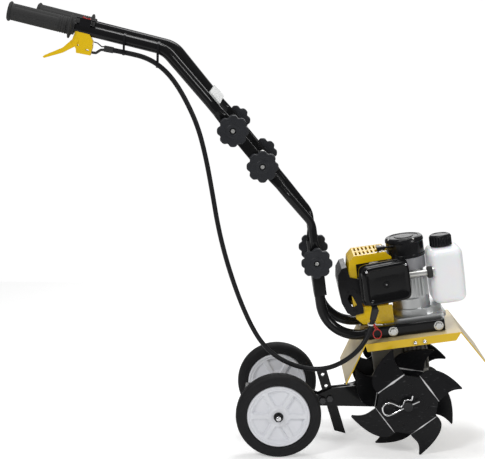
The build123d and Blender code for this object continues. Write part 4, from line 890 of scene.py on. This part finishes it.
class TILLER_OT_small_metal(Maker):
    """Deck bolts, cover screws and the grommet on the tank's spacer"""

    bl_idname = "tiller.small_metal"
    bl_label = "Small metal"

    def make(self, chosen):
        for k, x in enumerate((34.0, 54.0)):
            at = deck(x, -97.6, 122.5)
            fit(screw_head(f"flange_bolt_{k}", at, (0, -1, 0), 4.2), "chassis", "chrome")
        for k, (x, y, z) in enumerate(((-4, -37, 309), (-4, 37, 309), (-70, -37, 303), (6, -44, 284))):
            axis = UPWARD if z > 290 else (0, -1, 0)
            fit(screw_head(f"cover_screw_{k}", deck(x, y, z), axis, 3.2), "chassis", "chrome")
        grommet = [(81, 6.6), (81, 10.5), (82.5, 12.4), (91, 12.4), (92.8, 11), (92.8, 6.6)]
        grommet = turned("spacer_grommet", grommet, deck(0, -43, 256), FORWARD, 64, closed=True)
        fit(grommet, "chassis", "rubber")


class TILLER_OT_clips(Maker):
    """The two spring clips that hold the tine sets on their shaft"""

    bl_idname = "tiller.clips"
    bl_label = "R-clips"

    # (along the pull, square to it) from the shaft's axis: corners of the wire's route
    ROUTE = [(-26, 0), (18, 0), (34, -2.5), (51, -1), (52, 19), (38, 26), (26, 20), (15, 4), (6, 8), (2, 15),
             (-8, 12), (-12, 8), (-18, 17)]

    def make(self, chosen):
        pull, lift = np.array((-0.906, 0, -0.423)), np.array((-0.423, 0, 0.906))
        for side, sign in SIDES:
            at = np.array((SHAFT[0] / MM, sign * 136.0, SHAFT[2] / MM))
            wire = np.array([at + pull * along + lift * up for along, up in self.ROUTE])
            for _ in range(4):          # cutting corners again and again makes the route smooth
                first, second = wire[:-1], wire[1:]
                cut = np.stack((0.75 * first + 0.25 * second, 0.25 * first + 0.75 * second), 1).reshape(-1, 3)
                wire = np.vstack((wire[:1], cut, wire[-1:]))
            clip = tube(f"r_clip_{side}", wire * MM, 1.7)
            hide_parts("r_clips")
            fit(clip, "tines", "chrome")


# ---- tines -------------------------------------------------------------------------------------------
class TILLER_OT_tines(Maker):
    """Four stars of folded sickle blades on two hubs"""

    bl_idname = "tiller.tines"
    bl_label = "Tines"

    # (along the shaft, radius) round a hub's wall
    HUB = [(30, 10.05), (30, 14.4), (30.6, 15), (129.4, 15), (130, 14.4), (130, 10.05)]

    def make(self, chosen):
        for side, sign in SIDES:
            hub = turned(f"tine_hub_{side}", self.HUB, (SHAFT[0], 0, SHAFT[2]), (0, sign, 0), 72, closed=True)
            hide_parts(f"tine_set_{side}")
            fit(hub, "tines", "tine_paint")
            stars = (("inner", 58, TINE_PHASE - 45, sign), ("outer", 124, TINE_PHASE, -sign))
            for ring, y, phase, inward in stars:
                self.plate(f"tine_plate_{ring}_{side}", sign * y, phase)
                for k in range(4):
                    self.blade(f"tine_{ring}_{side}_{k}", sign * y, phase + 90 * k, inward, chosen.blade_bend)

    def plate(self, name, y, phase):
        """The eight-sided plate between the folds of a star, with its corners eased."""
        corners = []
        for k in range(4):
            turn = math.radians(phase + TINE_BACK + 90 * k)
            cos, sin = math.cos(turn), math.sin(turn)
            corners += [(FOLD_R * cos - v * sin, FOLD_R * sin + v * cos) for v in (-33, 33)]
        corners = np.array(corners)
        sides = zip(corners, np.roll(corners, -1, 0))
        edge = np.concatenate([np.linspace(a, b, 8, endpoint=False) for a, b in sides])
        half = BLADE_T / 2 - 0.25
        rings = [edge * 0.05, edge * 0.6, edge, edge, edge * 0.6, edge * 0.05]
        heights = [half, half, half, -half, -half, -half]
        local = np.stack([np.column_stack((ring, np.full(len(ring), h))) for ring, h in zip(rings, heights)])
        local = place(local, (SHAFT[0], y * MM, SHAFT[2]), (1, 0, 0), (0, 0, 1), (0, -1, 0))
        plate = skin(name, local, bevel=0.4)
        fit(plate, "tines", "tine_paint")

    def blade(self, name, y, turn_deg, inward, bend):
        """A blade between its leading and trailing edges, two Bezier curves from the fold to the tip.
        Past the fold it rolls through the bend on a small arc and goes on straight."""
        turn = math.radians(turn_deg + TINE_BACK)
        out = np.array((math.cos(turn), 0, math.sin(turn)))
        trailing = np.array((math.sin(turn), 0, -math.cos(turn)))
        sideways = np.array((0.0, inward, 0.0))
        reach = (TIP_R * math.cos(math.radians(TINE_BACK)) - FOLD_R) / math.cos(bend)
        tip = TIP_R * math.sin(math.radians(TINE_BACK))
        t = np.linspace(0, 1, 24)[:, None]
        lead = self.bezier(t, (-35, 8), (-38, 30), (-14, reach * 0.90), (tip - 1.5, reach))
        trail = self.bezier(t, (33, 8), (33, 22), (27, 34), (tip + 0.5, reach - 2.0))
        root = np.linspace(-24, 8, 12)[:-1, None]
        lead = np.vstack((np.hstack((np.full_like(root, -33) - (root + 24) / 16, root)), lead))
        trail = np.vstack((np.hstack((np.full_like(root, 33), root)), trail))
        share = np.linspace(0, 1, 15)[None, :, None]
        flat = lead[:, None] * (1 - share) + trail[:, None] * share
        v, w = flat[..., 0], flat[..., 1]
        roll = 6.0              # length of the arc
        angle = np.clip(w / roll, 0, 1) * bend
        straight = roll / bend * math.sin(bend) + (w - roll) * math.cos(bend)
        bent = np.where(w < roll, roll / bend * np.sin(angle), straight)
        along = FOLD_R + np.where(w < 0, w, bent)
        aside = roll / bend * (1 - np.cos(angle)) + np.clip(w - roll, 0, None) * math.sin(bend)
        middle = along[..., None] * out + v[..., None] * trailing + aside[..., None] * sideways
        face = unit(np.cross(trailing, out))
        normal = np.cos(angle)[..., None] * face - np.sin(angle)[..., None] * (face @ sideways) * out
        middle = middle + np.array((SHAFT[0], y * MM, SHAFT[2])) / MM
        half = BLADE_T / 2
        upper, lower = middle + normal * half, middle - normal * half
        sheet = np.concatenate((upper, lower[:, ::-1]), 1) * MM
        blade = skin(name, sheet, bevel=0.8, crease=25)
        fit(blade, "tines", "tine_paint")

    @staticmethod
    def bezier(t, a, b, c, d):
        """The cubic Bezier curve through a and d, pulled by b and c."""
        a, b, c, d = (np.array(p, float) for p in (a, b, c, d))
        return (1 - t) ** 3 * a + 3 * t * (1 - t) ** 2 * b + 3 * t * t * (1 - t) * c + t ** 3 * d


# ---- panel and registration --------------------------------------------------------------------------
OPERATORS = (TILLER_OT_stage, TILLER_OT_loom, TILLER_OT_finishes, TILLER_OT_knobs, TILLER_OT_grips,
             TILLER_OT_ties, TILLER_OT_wheels, TILLER_OT_tank, TILLER_OT_starter, TILLER_OT_muffler,
             TILLER_OT_small_metal, TILLER_OT_clips, TILLER_OT_tines)


class TILLER_PT_panel(bpy.types.Panel):
    """Lists the settings and the makers"""

    bl_idname = "TILLER_PT_panel"
    bl_label = "Mini tiller"
    bl_space_type = "VIEW_3D"
    bl_region_type = "UI"
    bl_category = "Tiller"

    def draw(self, context):
        for name in TillerSettings.__annotations__:
            self.layout.prop(context.scene.tiller, name)
        for maker in OPERATORS:
            self.layout.operator(maker.bl_idname)


CLASSES = (TillerSettings, *OPERATORS, TILLER_PT_panel)


def register():
    for kind in CLASSES:
        bpy.utils.register_class(kind)
    bpy.types.Scene.tiller = PointerProperty(type=TillerSettings)


def unregister():
    del bpy.types.Scene.tiller
    for kind in reversed(CLASSES):
        bpy.utils.unregister_class(kind)


def main():
    """Registers the add-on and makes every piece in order."""
    register()
    for maker in OPERATORS:
        getattr(bpy.ops.tiller, maker.bl_idname.split(".")[1])()


if __name__ == "__main__":
    main()
